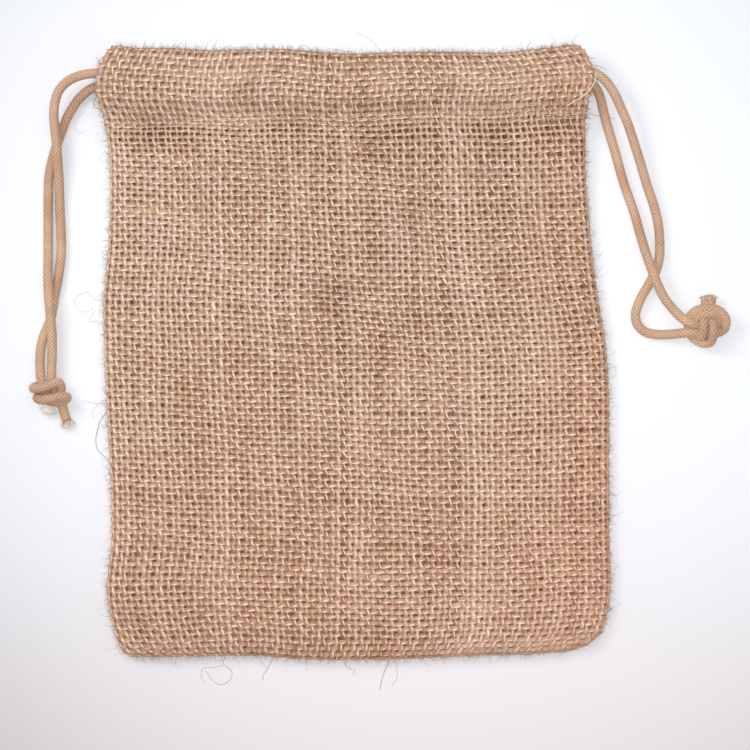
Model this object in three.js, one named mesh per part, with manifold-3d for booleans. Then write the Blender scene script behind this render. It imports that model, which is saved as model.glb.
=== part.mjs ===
// A small burlap drawstring sack, empty and lying flat on its back panel.
// Millimetres. +X is to the right, +Y towards the mouth, +Z up.
// The origin is on the surface it lies on, under the middle of the two cloth panels.

import * as THREE from 'three';
import Module from 'manifold-3d';
import { mergeVertices } from 'three/addons/utils/BufferGeometryUtils.js';

const wasm = await Module();
wasm.setup();

// ---------------------------------------------------------------- driving dimensions

const CLOTH = 1.4;              // thickness of the woven jute
const HALF_CLOTH = CLOTH / 2;
const GAP = 0.35;               // air between pieces that touch
const CORD = 4.8;               // diameter of the braided drawstring
const CORD_SIDES = 8;

const HALF_HEIGHT = 152;        // half of the nominal height of a panel
const STITCH_Y = 117.5;         // line of stitching that closes the drawstring tunnel
const RETURN_END_Y = 115.5;     // raw edge of the hem, just past the stitching
const TUNNEL_FULL_Y = 128;      // from here to the fold the tunnel has its full height
const TUNNEL = 5.5;             // clear height of the tunnel around the cords
const HEM_GAP = 0.4;            // air between the hem and the cloth at the stitching
const FOLD_REACH = 5.5;         // how far the rounded fold of the mouth reaches past its centre
const HEM_INSET = { left: 12, right: 10 };  // the turned-in hem stops short of the side openings

const SEAM_Z = 3.2;             // height at which the two panels meet along sides and bottom
const SEAM_RISE = 2.8;          // how much higher the side seams end, at the tunnel
const BODY_Z = 8.3;             // middle of the front cloth over the empty body
const MOUTH_OPEN = 4.9;         // how far the front hem stands off the back hem in the middle
const FRONT_EDGE = 9;           // width over which the front cloth curves down to its seam
const BACK_EDGE = 6;            // width over which the back cloth curves up to its seam
const UNSEWN_Y = 106;           // above this the side seam opens into the tunnel's ends
const UNSEWN_FADE = 4;          // the seam starts to open this far below, and is fully raised this far above
const SEAM_CLIMB_Y = 72;        // from here the side seams climb to the tunnel
const BODY_CLIMB_Y = 40;        // from here the front cloth climbs to the stitching
const BODY_CROWN = 0.9;         // how much lower the front cloth lies at its sides than in the middle
const CASING_Y = 135;           // height at which the casing is widest

// Left and right edge of the lying sack at heights up the panel.
const SIDES = [
  { y: -152, left: -111, right: 108 },
  { y: -150, left: -115.3, right: 115 },
  { y: -143, left: -118.8, right: 123.6 },
  { y: -130, left: -122.4, right: 127.6 },
  { y: -116, left: -123.8, right: 129 },
  { y: -92, left: -121.4, right: 128.3 },
  { y: -52, left: -122.5, right: 128.2 },
  { y: -20, left: -124.3, right: 128.1 },
  { y: 4, left: -125.2, right: 126.6 },
  { y: 28, left: -125.6, right: 122.7 },
  { y: 52, left: -123.3, right: 119.7 },
  { y: 80, left: -122.2, right: 117.2 },
  { y: 98, left: -122.3, right: 116.2 },
  { y: 112, left: -124.3, right: 116.3 },
  { y: 120, left: -126.6, right: 117.2 },
  { y: 127, left: -128.9, right: 118.4 },
  { y: 135, left: -129, right: 120.2 },
  { y: 142, left: -127.3, right: 119.4 },
  { y: 148, left: -124.3, right: 116.4 },
  { y: 152, left: -121.4, right: 113.4 },
];

// Bottom seam and fold of the mouth, across the sack.
const BOTTOM = [
  { x: -112, y: -152.1 }, { x: -97, y: -152.2 }, { x: -52, y: -151.6 }, { x: -20, y: -153.6 },
  { x: 20, y: -153.4 }, { x: 44, y: -152.4 }, { x: 73, y: -151.2 }, { x: 89, y: -150.7 },
  { x: 100, y: -149.8 }, { x: 112, y: -149.1 },
];
const MOUTH = [
  { x: -122, y: 154.1 }, { x: -109, y: 152.6 }, { x: -89, y: 152.2 }, { x: -70, y: 151.1 },
  { x: -36, y: 151.8 }, { x: -4, y: 149.5 }, { x: 36, y: 150.6 }, { x: 73, y: 150.1 },
  { x: 97, y: 152.6 }, { x: 114, y: 154.4 },
];

// Soft hollows (negative) and swells of the front cloth: centre, half widths and height.
const CREASES = [
  { x: -96, y: 109, across: 24, along: 9, rise: -1.4 },
  { x: -27, y: 110, across: 15, along: 7, rise: -1.0 },
  { x: 60, y: 108, across: 34, along: 8, rise: -0.8 },
  { x: -12, y: 27, across: 34, along: 12, rise: -0.6 },
  { x: -62, y: 66, across: 30, along: 22, rise: 0.5 },
  { x: 70, y: 30, across: 34, along: 26, rise: 0.4 },
  { x: -60, y: -70, across: 40, along: 30, rise: 0.5 },
  { x: 42, y: -96, across: 46, along: 26, rise: -0.4 },
];

// The slow waviness of cloth that has been handled: two crossed waves, each with its lengths.
const RIPPLE = {
  rise: 0.22,
  first: { across: 27, along: 90, start: 0.6 },
  second: { across: 120, along: 33 },
};

// ---------------------------------------------------------------- curves of the cloth

const clamp01 = (value) => Math.min(1, Math.max(0, value));
const smooth = (from, to, value) => {
  const t = clamp01((value - from) / (to - from));
  return t * t * (3 - 2 * t);
};

// A smooth curve through the rows of a table: key is the column read, along the column looked up.
function tableCurve(rows, along, key) {
  return (place) => {
    const last = rows.length - 1;
    if (place <= rows[0][along]) return rows[0][key];
    if (place >= rows[last][along]) return rows[last][key];
    const i = rows.findIndex((row) => row[along] > place) - 1;
    const nearby = [i - 1, i, i + 1, i + 2];
    const [before, from, to, after] = nearby.map((k) => rows[Math.min(last, Math.max(0, k))]);
    const width = to[along] - from[along];
    const t = (place - from[along]) / width;
    const slope = (a, b) => (a === b ? 0 : ((b[key] - a[key]) / (b[along] - a[along])) * width);
    const [m0, m1] = [slope(before, to), slope(from, after)];
    return (2 * t ** 3 - 3 * t ** 2 + 1) * from[key] + (t ** 3 - 2 * t ** 2 + t) * m0
      + (3 * t ** 2 - 2 * t ** 3) * to[key] + (t ** 3 - t ** 2) * m1;
  };
}

const leftEdge = tableCurve(SIDES, 'y', 'left');
const rightEdge = tableCurve(SIDES, 'y', 'right');
const bottomEdge = tableCurve(BOTTOM, 'x', 'y');
const mouthEdge = tableCurve(MOUTH, 'x', 'y');

const MIDDLE_X = (leftEdge(STITCH_Y) + rightEdge(STITCH_Y)) / 2;
const HALF_MOUTH = (rightEdge(CASING_Y) - leftEdge(CASING_Y)) / 2;

// The mouth stands open in the middle and closes towards the side seams.
const mouthGape = (x) => 1 - clamp01(Math.abs(x - MIDDLE_X) / HALF_MOUTH) ** 4;
const backHemZ = HALF_CLOTH + CLOTH + TUNNEL;
const frontHemZ = (x) => backHemZ + CLOTH + GAP + MOUTH_OPEN * mouthGape(x);
const hemDrop = CLOTH + HEM_GAP;
const tunnelRise = (y) => (CLOTH + TUNNEL - hemDrop) * smooth(STITCH_Y, TUNNEL_FULL_Y, y);
const seamZ = (y) => SEAM_Z + SEAM_RISE * smooth(SEAM_CLIMB_Y, UNSEWN_Y + UNSEWN_FADE, y);

function ripple(x, y) {
  const { rise, first, second } = RIPPLE;
  const waves = Math.sin(x / first.across + y / first.along + first.start)
    * Math.cos(y / second.along - x / second.across);
  return CREASES.reduce((sum, crease) => {
    const [u, v] = [(x - crease.x) / crease.across, (y - crease.y) / crease.along];
    return sum + crease.rise * Math.exp(-(u ** 2) - v ** 2);
  }, rise * waves);
}

// A quarter round: 0 at the seam, 1 once the cloth lies level.
const quarterRound = (distance, width) => Math.sqrt(1 - (1 - clamp01(distance / width)) ** 2);

// Middle of the front cloth between the bottom seam and the stitching, without its edges.
function frontBodyZ(x, y) {
  const across = (x - MIDDLE_X) / HALF_MOUTH;
  const level = BODY_Z - BODY_CROWN * across ** 4 + ripple(x, y);
  const climb = clamp01((y - BODY_CLIMB_Y) / (STITCH_Y - BODY_CLIMB_Y)) ** 2;
  return level + (frontHemZ(x) + hemDrop - BODY_Z) * climb;
}

// ---------------------------------------------------------------- a cloth panel

const SIDE_STEPS = [0, 1.1, 3.6, 9];
const BODY_COLUMNS = 13;
const BODY_ROWS = 12;
const BODY_TOP = 98;
const CASING_ROWS = [103, 108, 113, STITCH_Y, 120, 122.8, 126, 130, 137];
const RETURN_ROWS = [137, 130, 126, 122.8, 120, RETURN_END_Y];
const FOLD_STEPS = 6;
const DRAWN_IN_FROM = 0.4;      // share of the fold after which the hem narrows to fit inside the tunnel

// Distances of the columns from the left edge, as a share of an edge step or of the middle.
function columnX(j, y, insetLeft, insetRight) {
  const left = leftEdge(y) + HALF_CLOTH + insetLeft;
  const right = rightEdge(y) - HALF_CLOTH - insetRight;
  const last = SIDE_STEPS.length - 1;
  const fromRight = 2 * last + BODY_COLUMNS - j;
  if (j <= last) return left + SIDE_STEPS[j];
  if (fromRight <= last) return right - SIDE_STEPS[fromRight];
  return left + SIDE_STEPS[last] + ((j - last) / BODY_COLUMNS) * (right - left - 2 * SIDE_STEPS[last]);
}

// Nominal height up the panel, moved so that row 0 follows the bottom seam and the top the mouth.
function placedY(x, y) {
  const nearBottom = clamp01(-y / HALF_HEIGHT) ** 4;
  const nearMouth = clamp01((y - BODY_TOP) / (HALF_HEIGHT - BODY_TOP));
  return y + nearBottom * (bottomEdge(x) + HALF_CLOTH + HALF_HEIGHT)
    + nearMouth * (mouthEdge(x) - HALF_CLOTH - HALF_HEIGHT);
}

// Sections of a panel from the bottom seam up, over the fold of the mouth and back down inside.
function panelSections() {
  const rows = SIDE_STEPS.slice(0, -1).map((step) => ({ y: -HALF_HEIGHT + step }));
  const low = -HALF_HEIGHT + SIDE_STEPS.at(-1);
  for (let i = 0; i <= BODY_ROWS; i += 1) rows.push({ y: low + (i / BODY_ROWS) * (BODY_TOP - low) });
  CASING_ROWS.forEach((y) => rows.push({ y }));
  for (let i = 0; i <= FOLD_STEPS; i += 1) rows.push({ fold: 90 - (i / FOLD_STEPS) * 180 });
  RETURN_ROWS.forEach((y) => rows.push({ y, hem: true }));
  return rows;
}

// heights: outer(x, y, edge), hem(x, y), fold(x) -> [centre, half height], and side: +1 front, -1 back.
function panelPoint(section, j, heights) {
  const turned = section.hem ? 1 : section.fold === undefined ? 0 : (90 - section.fold) / 180;
  const drawnIn = smooth(DRAWN_IN_FROM, 1, turned);
  const insets = [HEM_INSET.left * drawnIn, HEM_INSET.right * drawnIn];
  if (section.fold === undefined) {
    const x = columnX(j, section.y, ...insets);
    const y = section.hem && section.y === RETURN_END_Y ? section.y : placedY(x, section.y);
    return new THREE.Vector3(x, y, section.hem ? heights.hem(x, y) : heights.outer(x, y, section.y));
  }
  const angle = THREE.MathUtils.degToRad(section.fold);
  const foldY = HALF_HEIGHT - FOLD_REACH;
  const x = columnX(j, foldY + FOLD_REACH * Math.cos(angle), ...insets);
  const [centre, half] = heights.fold(x);
  const y = mouthEdge(x) - HALF_CLOTH - FOLD_REACH + FOLD_REACH * Math.cos(angle);
  return new THREE.Vector3(x, y, centre + heights.side * half * Math.sin(angle));
}

function gridNormal(grid, i, j) {
  const [below, above] = [grid[Math.max(0, i - 1)][j], grid[Math.min(grid.length - 1, i + 1)][j]];
  const [west, east] = [grid[i][Math.max(0, j - 1)], grid[i][Math.min(grid[i].length - 1, j + 1)]];
  return east.clone().sub(west).cross(above.clone().sub(below)).normalize();
}

// Along a sewn edge the cloth stands upright, so both panels end in level faces that meet.
function seamNormal(normal, i, j, columns, y, side) {
  const outward = new THREE.Vector3(
    (j === columns - 1 ? 1 : 0) - (j === 0 ? 1 : 0), i === 0 ? -1 : 0, 0);
  if (outward.lengthSq() === 0) return normal;
  const sewn = 1 - smooth(UNSEWN_Y - UNSEWN_FADE, STITCH_Y, y);
  return normal.clone().lerp(outward.normalize().multiplyScalar(side), sewn).normalize();
}

// Two skins half a cloth either side of the grid, joined round the rim.
function sheetGeometry(grid, normals) {
  const [rows, columns] = [grid.length, grid[0].length];
  const positions = [];
  [1, -1].forEach((skin) => grid.forEach((line, i) => line.forEach((point, j) => {
    positions.push(...point.clone().addScaledVector(normals[i][j], skin * HALF_CLOTH).toArray());
  })));
  const at = (skin, i, j) => (skin * rows + i) * columns + j;
  const index = [];
  const quad = (a, b, c, d) => index.push(a, b, c, a, c, d);
  for (let i = 0; i < rows - 1; i += 1) {
    for (let j = 0; j < columns - 1; j += 1) {
      quad(at(0, i, j), at(0, i, j + 1), at(0, i + 1, j + 1), at(0, i + 1, j));
      quad(at(1, i, j), at(1, i + 1, j), at(1, i + 1, j + 1), at(1, i, j + 1));
    }
    quad(at(0, i, 0), at(0, i + 1, 0), at(1, i + 1, 0), at(1, i, 0));
    quad(at(0, i + 1, columns - 1), at(0, i, columns - 1), at(1, i, columns - 1), at(1, i + 1, columns - 1));
  }
  for (let j = 0; j < columns - 1; j += 1) {
    quad(at(0, 0, j + 1), at(0, 0, j), at(1, 0, j), at(1, 0, j + 1));
    quad(at(0, rows - 1, j), at(0, rows - 1, j + 1), at(1, rows - 1, j + 1), at(1, rows - 1, j));
  }
  const geometry = new THREE.BufferGeometry();
  geometry.setAttribute('position', new THREE.Float32BufferAttribute(positions, 3));
  geometry.setIndex(index);
  return geometry;
}

function panelGeometry(heights) {
  const sections = panelSections();
  const columns = 2 * (SIDE_STEPS.length - 1) + BODY_COLUMNS + 1;
  const grid = sections.map((section) => Array.from({ length: columns },
    (_, j) => panelPoint(section, j, heights)));
  const normals = grid.map((line, i) => line.map((point, j) => {
    const normal = gridNormal(grid, i, j);
    const flat = sections[i].fold === undefined && !sections[i].hem;
    return flat ? seamNormal(normal, i, j, columns, point.y, heights.side) : normal;
  }));
  return sheetGeometry(grid, normals);
}

// How far the edge rounding has lifted the cloth: 0 at a sewn edge, 1 in the middle of the panel.
function edgeLift(x, y, nominalY, width) {
  const fromSide = Math.min(x - leftEdge(nominalY), rightEdge(nominalY) - x) - HALF_CLOTH;
  const fromBottom = y - bottomEdge(x) - HALF_CLOTH;
  const side = quarterRound(fromSide, width);
  const open = smooth(UNSEWN_Y, STITCH_Y, y);
  return (side + (1 - side) * open) * quarterRound(fromBottom, width);
}

const frontPanel = {
  side: 1,
  outer: (x, y, nominalY) => {
    if (y >= STITCH_Y) return frontHemZ(x) + hemDrop + tunnelRise(y);
    const seam = seamZ(y) + GAP / 2;
    return seam + (frontBodyZ(x, y) - seam) * edgeLift(x, y, nominalY, FRONT_EDGE);
  },
  hem: (x) => frontHemZ(x),
  fold: (x) => [frontHemZ(x) + (CLOTH + TUNNEL) / 2, (CLOTH + TUNNEL) / 2],
};

const backPanel = {
  side: -1,
  outer: (x, y, nominalY) => {
    const seam = seamZ(y) - GAP / 2;
    return seam + (HALF_CLOTH - seam) * edgeLift(x, y, nominalY, BACK_EDGE);
  },
  hem: (x, y) => HALF_CLOTH + hemDrop + tunnelRise(y),
  fold: () => [HALF_CLOTH + (CLOTH + TUNNEL) / 2, (CLOTH + TUNNEL) / 2],
};

// ---------------------------------------------------------------- drawstrings

const FRONT_CORD_Z = (x) => frontHemZ(x) + (CLOTH + TUNNEL) / 2;
const BACK_CORD_Z = HALF_CLOTH + (CLOTH + TUNNEL) / 2;

// Rows are x, y, z along the middle of the cord.
// The left cord: out of the knot, up to the front tunnel, through both tunnels and back to the knot.
const LEFT_FRONT_STRAND = [
  [-157, -3, 5.4], [-156.7, 3, 3.9], [-155.3, 8.8, 2.9], [-151.9, 17.3, 2.5], [-149.5, 30.5, 2.5],
  [-147.6, 41, 2.5], [-146.5, 52, 2.5], [-146.7, 62, 2.5], [-147.2, 73.3, 2.7], [-147.6, 88, 4.6],
  [-148.1, 97, 6.9], [-148.6, 105.5, 7.9], [-149.5, 114.2, 8.9], [-149.8, 120, 9.8],
  [-149.1, 125.8, 10.8], [-147.4, 130.7, 11.6], [-143.5, 135.3, 12.3], [-138.3, 138.1, 12.8],
  [-132.6, 139.5, 13], [-127, 140, 13.1],
];
const LEFT_BACK_STRAND = [
  [-128, 134, 4.2], [-133.2, 131.6, 3.9], [-137.9, 127.3, 3.2], [-141.1, 122.7, 2.7], [-144.2, 117, 2.5],
  [-147.2, 108.8, 2.5], [-150.2, 100, 2.5], [-152.6, 89.3, 2.5], [-153.1, 73.3, 2.5],
  [-153.1, 60, 2.6], [-153.1, 46, 3.5], [-152.8, 33, 6.9], [-151.7, 19.5, 7.9], [-150.9, 10, 6.9],
  [-150.8, 3, 6.4], [-150.9, -3, 6.4],
];
const RIGHT_FRONT_STRAND = [
  [160, 9.8, 4.2], [155.3, 9.5, 3], [150.5, 9.8, 2.5], [145.6, 11.2, 2.5],
  [142.1, 14.9, 2.5], [141.3, 20, 2.5], [143.4, 26.6, 2.5], [147.6, 34.2, 2.5], [151.2, 40.9, 2.5],
  [153.1, 47.5, 2.5], [153.4, 55, 2.5], [152.6, 65, 2.5], [150.5, 74, 2.8], [147.4, 83, 3.6],
  [142.6, 98.5, 5.6], [136.9, 115.4, 8.4], [134.1, 121.6, 9.6], [131.7, 127, 10.7], [129, 131.9, 11.6],
  [125.6, 136.3, 12.4], [121.6, 139.4, 12.9], [118, 140.8, 13.1],
];
const RIGHT_BACK_STRAND = [
  [118.2, 136.2, 4.2], [121.4, 133, 4], [123.5, 128.4, 3.4], [125, 122.4, 2.8], [126.7, 115.6, 2.5],
  [131, 101, 2.5], [135.5, 85, 2.5], [140.7, 70, 2.7], [143.4, 60, 3.9], [145.9, 51.5, 5.8],
  [149, 42.3, 7.7], [152, 34.6, 7.6], [155.8, 27.4, 6.6], [159.3, 22.8, 6.6],
];

// Inside the tunnels: stations across the sack, and the turn round the far side seam.
const TUNNEL_STATIONS = 9;
const LEFT_CORD_HIDDEN = {
  front: { from: [-123, 140.1], to: [110, 136.3] },
  turn: [[113.6, 135.4, 12.6], [115, 133.6, 9.4], [114, 131, 5.8], [110.6, 129.2, 4.3]],
  back: { from: [105, 128.9], to: [-117, 134.9] },
  last: [-123, 135],
};
const RIGHT_CORD_HIDDEN = {
  front: { from: [113.5, 141.6], to: [-113, 145.6] },
  turn: [[-117.6, 145.7, 13.4], [-119.7, 145.2, 9.8], [-118.4, 143.2, 5.8], [-114.6, 141.6, 4.3]],
  back: { from: [-109, 141], to: [108, 139.2] },
  last: [114, 138.4],
};

function hiddenRoute({ front, turn, back, last }) {
  const run = (ends, height) => Array.from({ length: TUNNEL_STATIONS + 1 }, (_, i) => {
    const t = i / TUNNEL_STATIONS;
    const [x, y] = [0, 1].map((axis) => THREE.MathUtils.lerp(ends.from[axis], ends.to[axis], t));
    return [x, y, height(x)];
  });
  return [...run(front, FRONT_CORD_Z), ...turn, ...run(back, () => BACK_CORD_Z), [...last, BACK_CORD_Z]];
}

// The knots: each strand of a pair on its way in, once round and out at its tail.
const LEFT_FRONT_KNOT = [
  [-156.8, -9.4, 6.6], [-156.2, -13.8, 6.2], [-155.2, -17.8, 5.2], [-153.4, -21.4, 4.2],
  [-149.6, -24, 3.6], [-145.4, -23.6, 5], [-143.4, -21.8, 7.8], [-146.6, -21.6, 10.4],
  [-151.6, -22.6, 10.9], [-156.2, -23, 9.4], [-158.4, -22.2, 5.8], [-156.6, -20.6, 3],
  [-153.4, -21.4, 2.5], [-152.2, -24.6, 2.9], [-152.8, -29, 3],
];
const LEFT_BACK_KNOT = [
  [-151.2, -9.4, 6.8], [-151.1, -13, 6.2], [-150.5, -16.6, 5], [-148.4, -19.2, 4.4],
  [-146.4, -18, 6.6], [-147.4, -14.6, 9.6], [-151.6, -15.8, 11.3], [-156.6, -17.4, 10.2],
  [-160.2, -17.4, 6.6], [-158.8, -16.4, 2.9], [-153.8, -17.4, 2.4], [-149, -20.4, 2.5],
  [-146.4, -25, 2.9], [-144.8, -30.4, 2.8], [-143.4, -35.4, 2.6],
];
const RIGHT_FRONT_KNOT = [
  [164, 10.2, 5.7], [168.2, 10.6, 7.4], [172.4, 10.2, 6.6], [176.4, 10, 4.6], [181, 10.1, 4],
  [185.6, 12.6, 5.4], [186, 17.4, 7.4], [182.8, 21.2, 9], [177.2, 22.6, 9.6], [171.2, 21.2, 8],
  [167.8, 17.4, 5], [167.9, 12.6, 2.7], [170, 8.2, 2.8], [174.2, 5.6, 4.4], [178.4, 5.8, 7],
  [179.8, 11, 10.4], [179.2, 16.8, 8.2], [178.8, 21.2, 5], [179, 26.8, 4.6],
];
const RIGHT_BACK_KNOT = [
  [162.9, 18.9, 7.6], [167.2, 15.8, 9.2], [171, 14.3, 7.6], [175, 13.8, 5.2], [179.2, 13.8, 4.6],
  [182.4, 15.6, 6.2], [181.6, 18.6, 8.6], [177.2, 19.8, 10.6], [172.4, 18.8, 8.6],
  [170.8, 15.6, 5.2], [171.4, 11.4, 2.8], [172.8, 8.4, 4.4], [174.4, 9.4, 8.6],
  [174.8, 13.4, 10.6], [175.6, 17.8, 8.4], [176.4, 21.6, 5], [176.2, 26.4, 4.6],
];

// One master curve for each cord keeps the pieces of it in line where they meet.
function cordCurve(...parts) {
  const points = parts.flat().map(([x, y, z]) => new THREE.Vector3(x, y, z));
  return new THREE.CatmullRomCurve3(points, false, 'centripetal');
}

// The length of a cord from one row of its master curve to another, half a gap short of each
// end that meets another piece. Its stations follow the rows, which lie closer in the bends.
const ROW_NUDGE = 0.02;         // part of the way to the next row, used to measure a row's spacing

class CordLength extends THREE.Curve {
  constructor(cord, first, last, gapAtStart = true, gapAtEnd = true) {
    super();
    const rows = cord.points.length - 1;
    const halfGap = (row, step) => step * (GAP / 2)
      / cord.getPoint(row / rows).distanceTo(cord.getPoint((row + step) / rows));
    this.cord = cord;
    this.from = (first + (gapAtStart ? halfGap(first, ROW_NUDGE) : 0)) / rows;
    this.to = (last + (gapAtEnd ? halfGap(last, -ROW_NUDGE) : 0)) / rows;
  }

  getPoint(t) {
    return this.cord.getPoint(THREE.MathUtils.lerp(this.from, this.to, t));
  }

  getUtoTmapping(u) {
    return u;
  }
}

// A cord's tube with a ring of corners at every station.
function cordGeometry(length, steps) {
  const section = new THREE.Shape(Array.from({ length: CORD_SIDES }, (_, i) => {
    const angle = ((i + 0.5) / CORD_SIDES) * 2 * Math.PI;
    return new THREE.Vector2(Math.cos(angle), Math.sin(angle)).multiplyScalar(CORD / 2);
  }));
  return new THREE.ExtrudeGeometry(section, {
    extrudePath: length, steps, bevelEnabled: false, curveSegments: 1 });
}

const SAME_POINT = 1e-4;        // corners closer than this are one

function toManifold(geometry) {
  const bare = geometry.clone();
  bare.deleteAttribute('normal');
  bare.deleteAttribute('uv');
  const merged = mergeVertices(bare, SAME_POINT);
  return new wasm.Manifold(new wasm.Mesh({
    numProp: 3,
    vertProperties: new Float32Array(merged.attributes.position.array),
    triVerts: new Uint32Array(merged.index.array),
  }));
}

function fromManifold(solid) {
  const mesh = solid.getMesh();
  const geometry = new THREE.BufferGeometry();
  geometry.setAttribute('position', new THREE.BufferAttribute(new Float32Array(mesh.vertProperties), 3));
  geometry.setIndex(new THREE.BufferAttribute(new Uint32Array(mesh.triVerts), 1));
  return geometry;
}

// A knot is its two strands pressed into one: short lengths of cord joined round a filled core.
const KNOT_PIECE_ROWS = 2;
const KNOT_OVERLAP = 0.15;
const CORE_SIDES = 10;
const CORE_RINGS = 6;

function knotGeometry(cord, spans, core) {
  const centre = new THREE.SphereGeometry(1, CORE_SIDES, CORE_RINGS);
  centre.scale(...core.radii).translate(...core.middle);
  let solid = toManifold(centre);
  spans.forEach(({ first, last, entry }) => {
    for (let row = first; row < last; row += KNOT_PIECE_ROWS) {
      const end = Math.min(last, row + KNOT_PIECE_ROWS);
      const start = row === first ? row : row - KNOT_OVERLAP;
      const piece = new CordLength(cord, start, end, entry === row, entry === end);
      solid = solid.add(toManifold(cordGeometry(piece, end - row)));
    }
  });
  return fromManifold(solid);
}

// ---------------------------------------------------------------- the sack

const jute = new THREE.MeshStandardMaterial({ color: 0xa67c5a, roughness: 0.95, metalness: 0 });
const cotton = new THREE.MeshStandardMaterial({ color: 0xc89a70, roughness: 0.9, metalness: 0 });

const sack = new THREE.Group();

function addPiece(name, geometry, material) {
  const mesh = new THREE.Mesh(geometry, material);
  mesh.name = name;
  sack.add(mesh);
}

addPiece('front_panel', panelGeometry(frontPanel), jute);
addPiece('back_panel', panelGeometry(backPanel), jute);

const cords = [
  {
    side: 'left', frontKnot: LEFT_FRONT_KNOT, front: LEFT_FRONT_STRAND, hidden: LEFT_CORD_HIDDEN,
    back: LEFT_BACK_STRAND, backKnot: LEFT_BACK_KNOT, core: { middle: [-152, -18.5, 6.6], radii: [5, 4, 4] },
  },
  {
    side: 'right', frontKnot: RIGHT_FRONT_KNOT, front: RIGHT_FRONT_STRAND, hidden: RIGHT_CORD_HIDDEN,
    back: RIGHT_BACK_STRAND, backKnot: RIGHT_BACK_KNOT, core: { middle: [176.7, 14, 6.4], radii: [6, 6, 4] },
  },
];

cords.forEach(({ side, frontKnot, front, hidden, back, backKnot, core }) => {
  const cord = cordCurve([...frontKnot].reverse(), front, hiddenRoute(hidden), back, backKnot);
  const tail = cord.points.length - 1;
  const frontEntry = frontKnot.length - 1;
  const backEntry = tail - (backKnot.length - 1);
  const intoTunnel = frontEntry + front.length;
  const outOfTunnel = backEntry - back.length;
  const addLength = (name, first, last) => addPiece(
    `${side}_${name}`, cordGeometry(new CordLength(cord, first, last), last - first), cotton);
  addLength('front_strand', frontEntry, intoTunnel);
  addLength('hidden_run', intoTunnel, outOfTunnel);
  addLength('back_strand', outOfTunnel, backEntry);
  addPiece(`${side}_knot`, knotGeometry(cord, [
    { first: 0, last: frontEntry, entry: frontEntry }, { first: backEntry, last: tail, entry: backEntry },
  ], core), cotton);
});

export default sack;
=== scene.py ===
"""A small burlap drawstring sack, empty and lying flat: woven jute, cotton cords, stray fibres."""

import math

import bpy
import numpy as np
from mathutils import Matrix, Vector


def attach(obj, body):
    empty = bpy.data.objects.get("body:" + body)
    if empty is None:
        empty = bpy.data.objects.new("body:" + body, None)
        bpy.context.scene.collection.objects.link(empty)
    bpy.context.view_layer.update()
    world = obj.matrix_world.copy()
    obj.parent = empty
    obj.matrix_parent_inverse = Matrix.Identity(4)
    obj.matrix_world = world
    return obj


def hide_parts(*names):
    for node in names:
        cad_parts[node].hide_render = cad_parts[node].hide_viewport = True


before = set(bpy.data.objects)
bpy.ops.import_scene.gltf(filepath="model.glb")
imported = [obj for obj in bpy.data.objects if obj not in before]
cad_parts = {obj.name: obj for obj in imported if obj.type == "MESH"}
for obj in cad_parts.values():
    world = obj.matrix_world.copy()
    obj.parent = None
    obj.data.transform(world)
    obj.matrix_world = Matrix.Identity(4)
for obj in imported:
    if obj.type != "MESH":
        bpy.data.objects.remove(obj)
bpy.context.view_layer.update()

# ---------------------------------------------------------------- camera
# The sack is seen from straight above. The view is 375 mm wide at the height of the cloth,
# and the camera is far enough away that the raised mouth keeps its width.

VIEW_WIDTH = 0.375
VIEW_MIDDLE = (0.0107, -0.0107)
CLOTH_HEIGHT = 0.008
CAMERA_RISE = 2.4
SENSOR = 36.0


def add_object(name, data):
    made = bpy.data.objects.new(name, data)
    bpy.context.scene.collection.objects.link(made)
    return made


camera_data = bpy.data.cameras.new("camera")
camera_data.sensor_width = SENSOR
camera_data.lens = SENSOR * CAMERA_RISE / VIEW_WIDTH
camera = add_object("camera", camera_data)
camera.location = (*VIEW_MIDDLE, CLOTH_HEIGHT + CAMERA_RISE)
bpy.context.scene.camera = camera

# ---------------------------------------------------------------- drawstrings
# Each drawstring is one braided cotton cord, 4.8 mm thick. It leaves the sack at both ends of the
# side it belongs to, and its two free ends are tied together in an overhand knot.
# Rows are x, y, z of the middle of the cord in millimetres.

MM = 0.001
CORD = 4.8
RING_STEP = 0.42                # between two rings of a cord's surface
CARRIERS = 8                    # strands of the braid that run each way round
BRAID_LENGTH = 2.1              # along the cord, from one crossing to the next but one
BRAID_RELIEF = 0.3
BRAID_MIDDLE = 0.7              # height of the relief at which the cord has its full thickness
STRAND_SIDE = 0.55              # height of a strand's sides as a share of its top

LEFT_FRONT_STRAND = [
    (-157, -3, 5.4), (-156.7, 3, 3.9), (-155.3, 8.8, 2.9), (-151.9, 17.3, 2.5), (-149.5, 30.5, 2.5),
    (-147.6, 41, 2.5), (-146.5, 52, 2.5), (-146.7, 62, 2.5), (-147.2, 73.3, 2.7), (-147.6, 88, 4.6),
    (-148.1, 97, 6.9), (-148.6, 105.5, 7.9), (-149.5, 114.2, 8.9), (-149.8, 120, 9.8),
    (-149.1, 125.8, 10.8), (-147.4, 130.7, 11.6), (-143.5, 135.3, 12.3), (-138.3, 138.1, 12.8),
    (-132.6, 139.5, 13), (-127, 140, 13.1),
]
LEFT_BACK_STRAND = [
    (-128, 134, 4.2), (-133.2, 131.6, 3.9), (-137.9, 127.3, 3.2), (-141.1, 122.7, 2.7),
    (-144.2, 117, 2.5), (-147.2, 108.8, 2.5), (-150.2, 100, 2.5), (-152.6, 89.3, 2.5),
    (-153.1, 73.3, 2.5), (-153.1, 60, 2.6), (-153.1, 46, 3.5), (-152.8, 33, 6.9), (-151.7, 19.5, 7.9),
    (-150.9, 10, 6.9), (-150.8, 3, 6.4), (-150.9, -3, 6.4),
]
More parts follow.
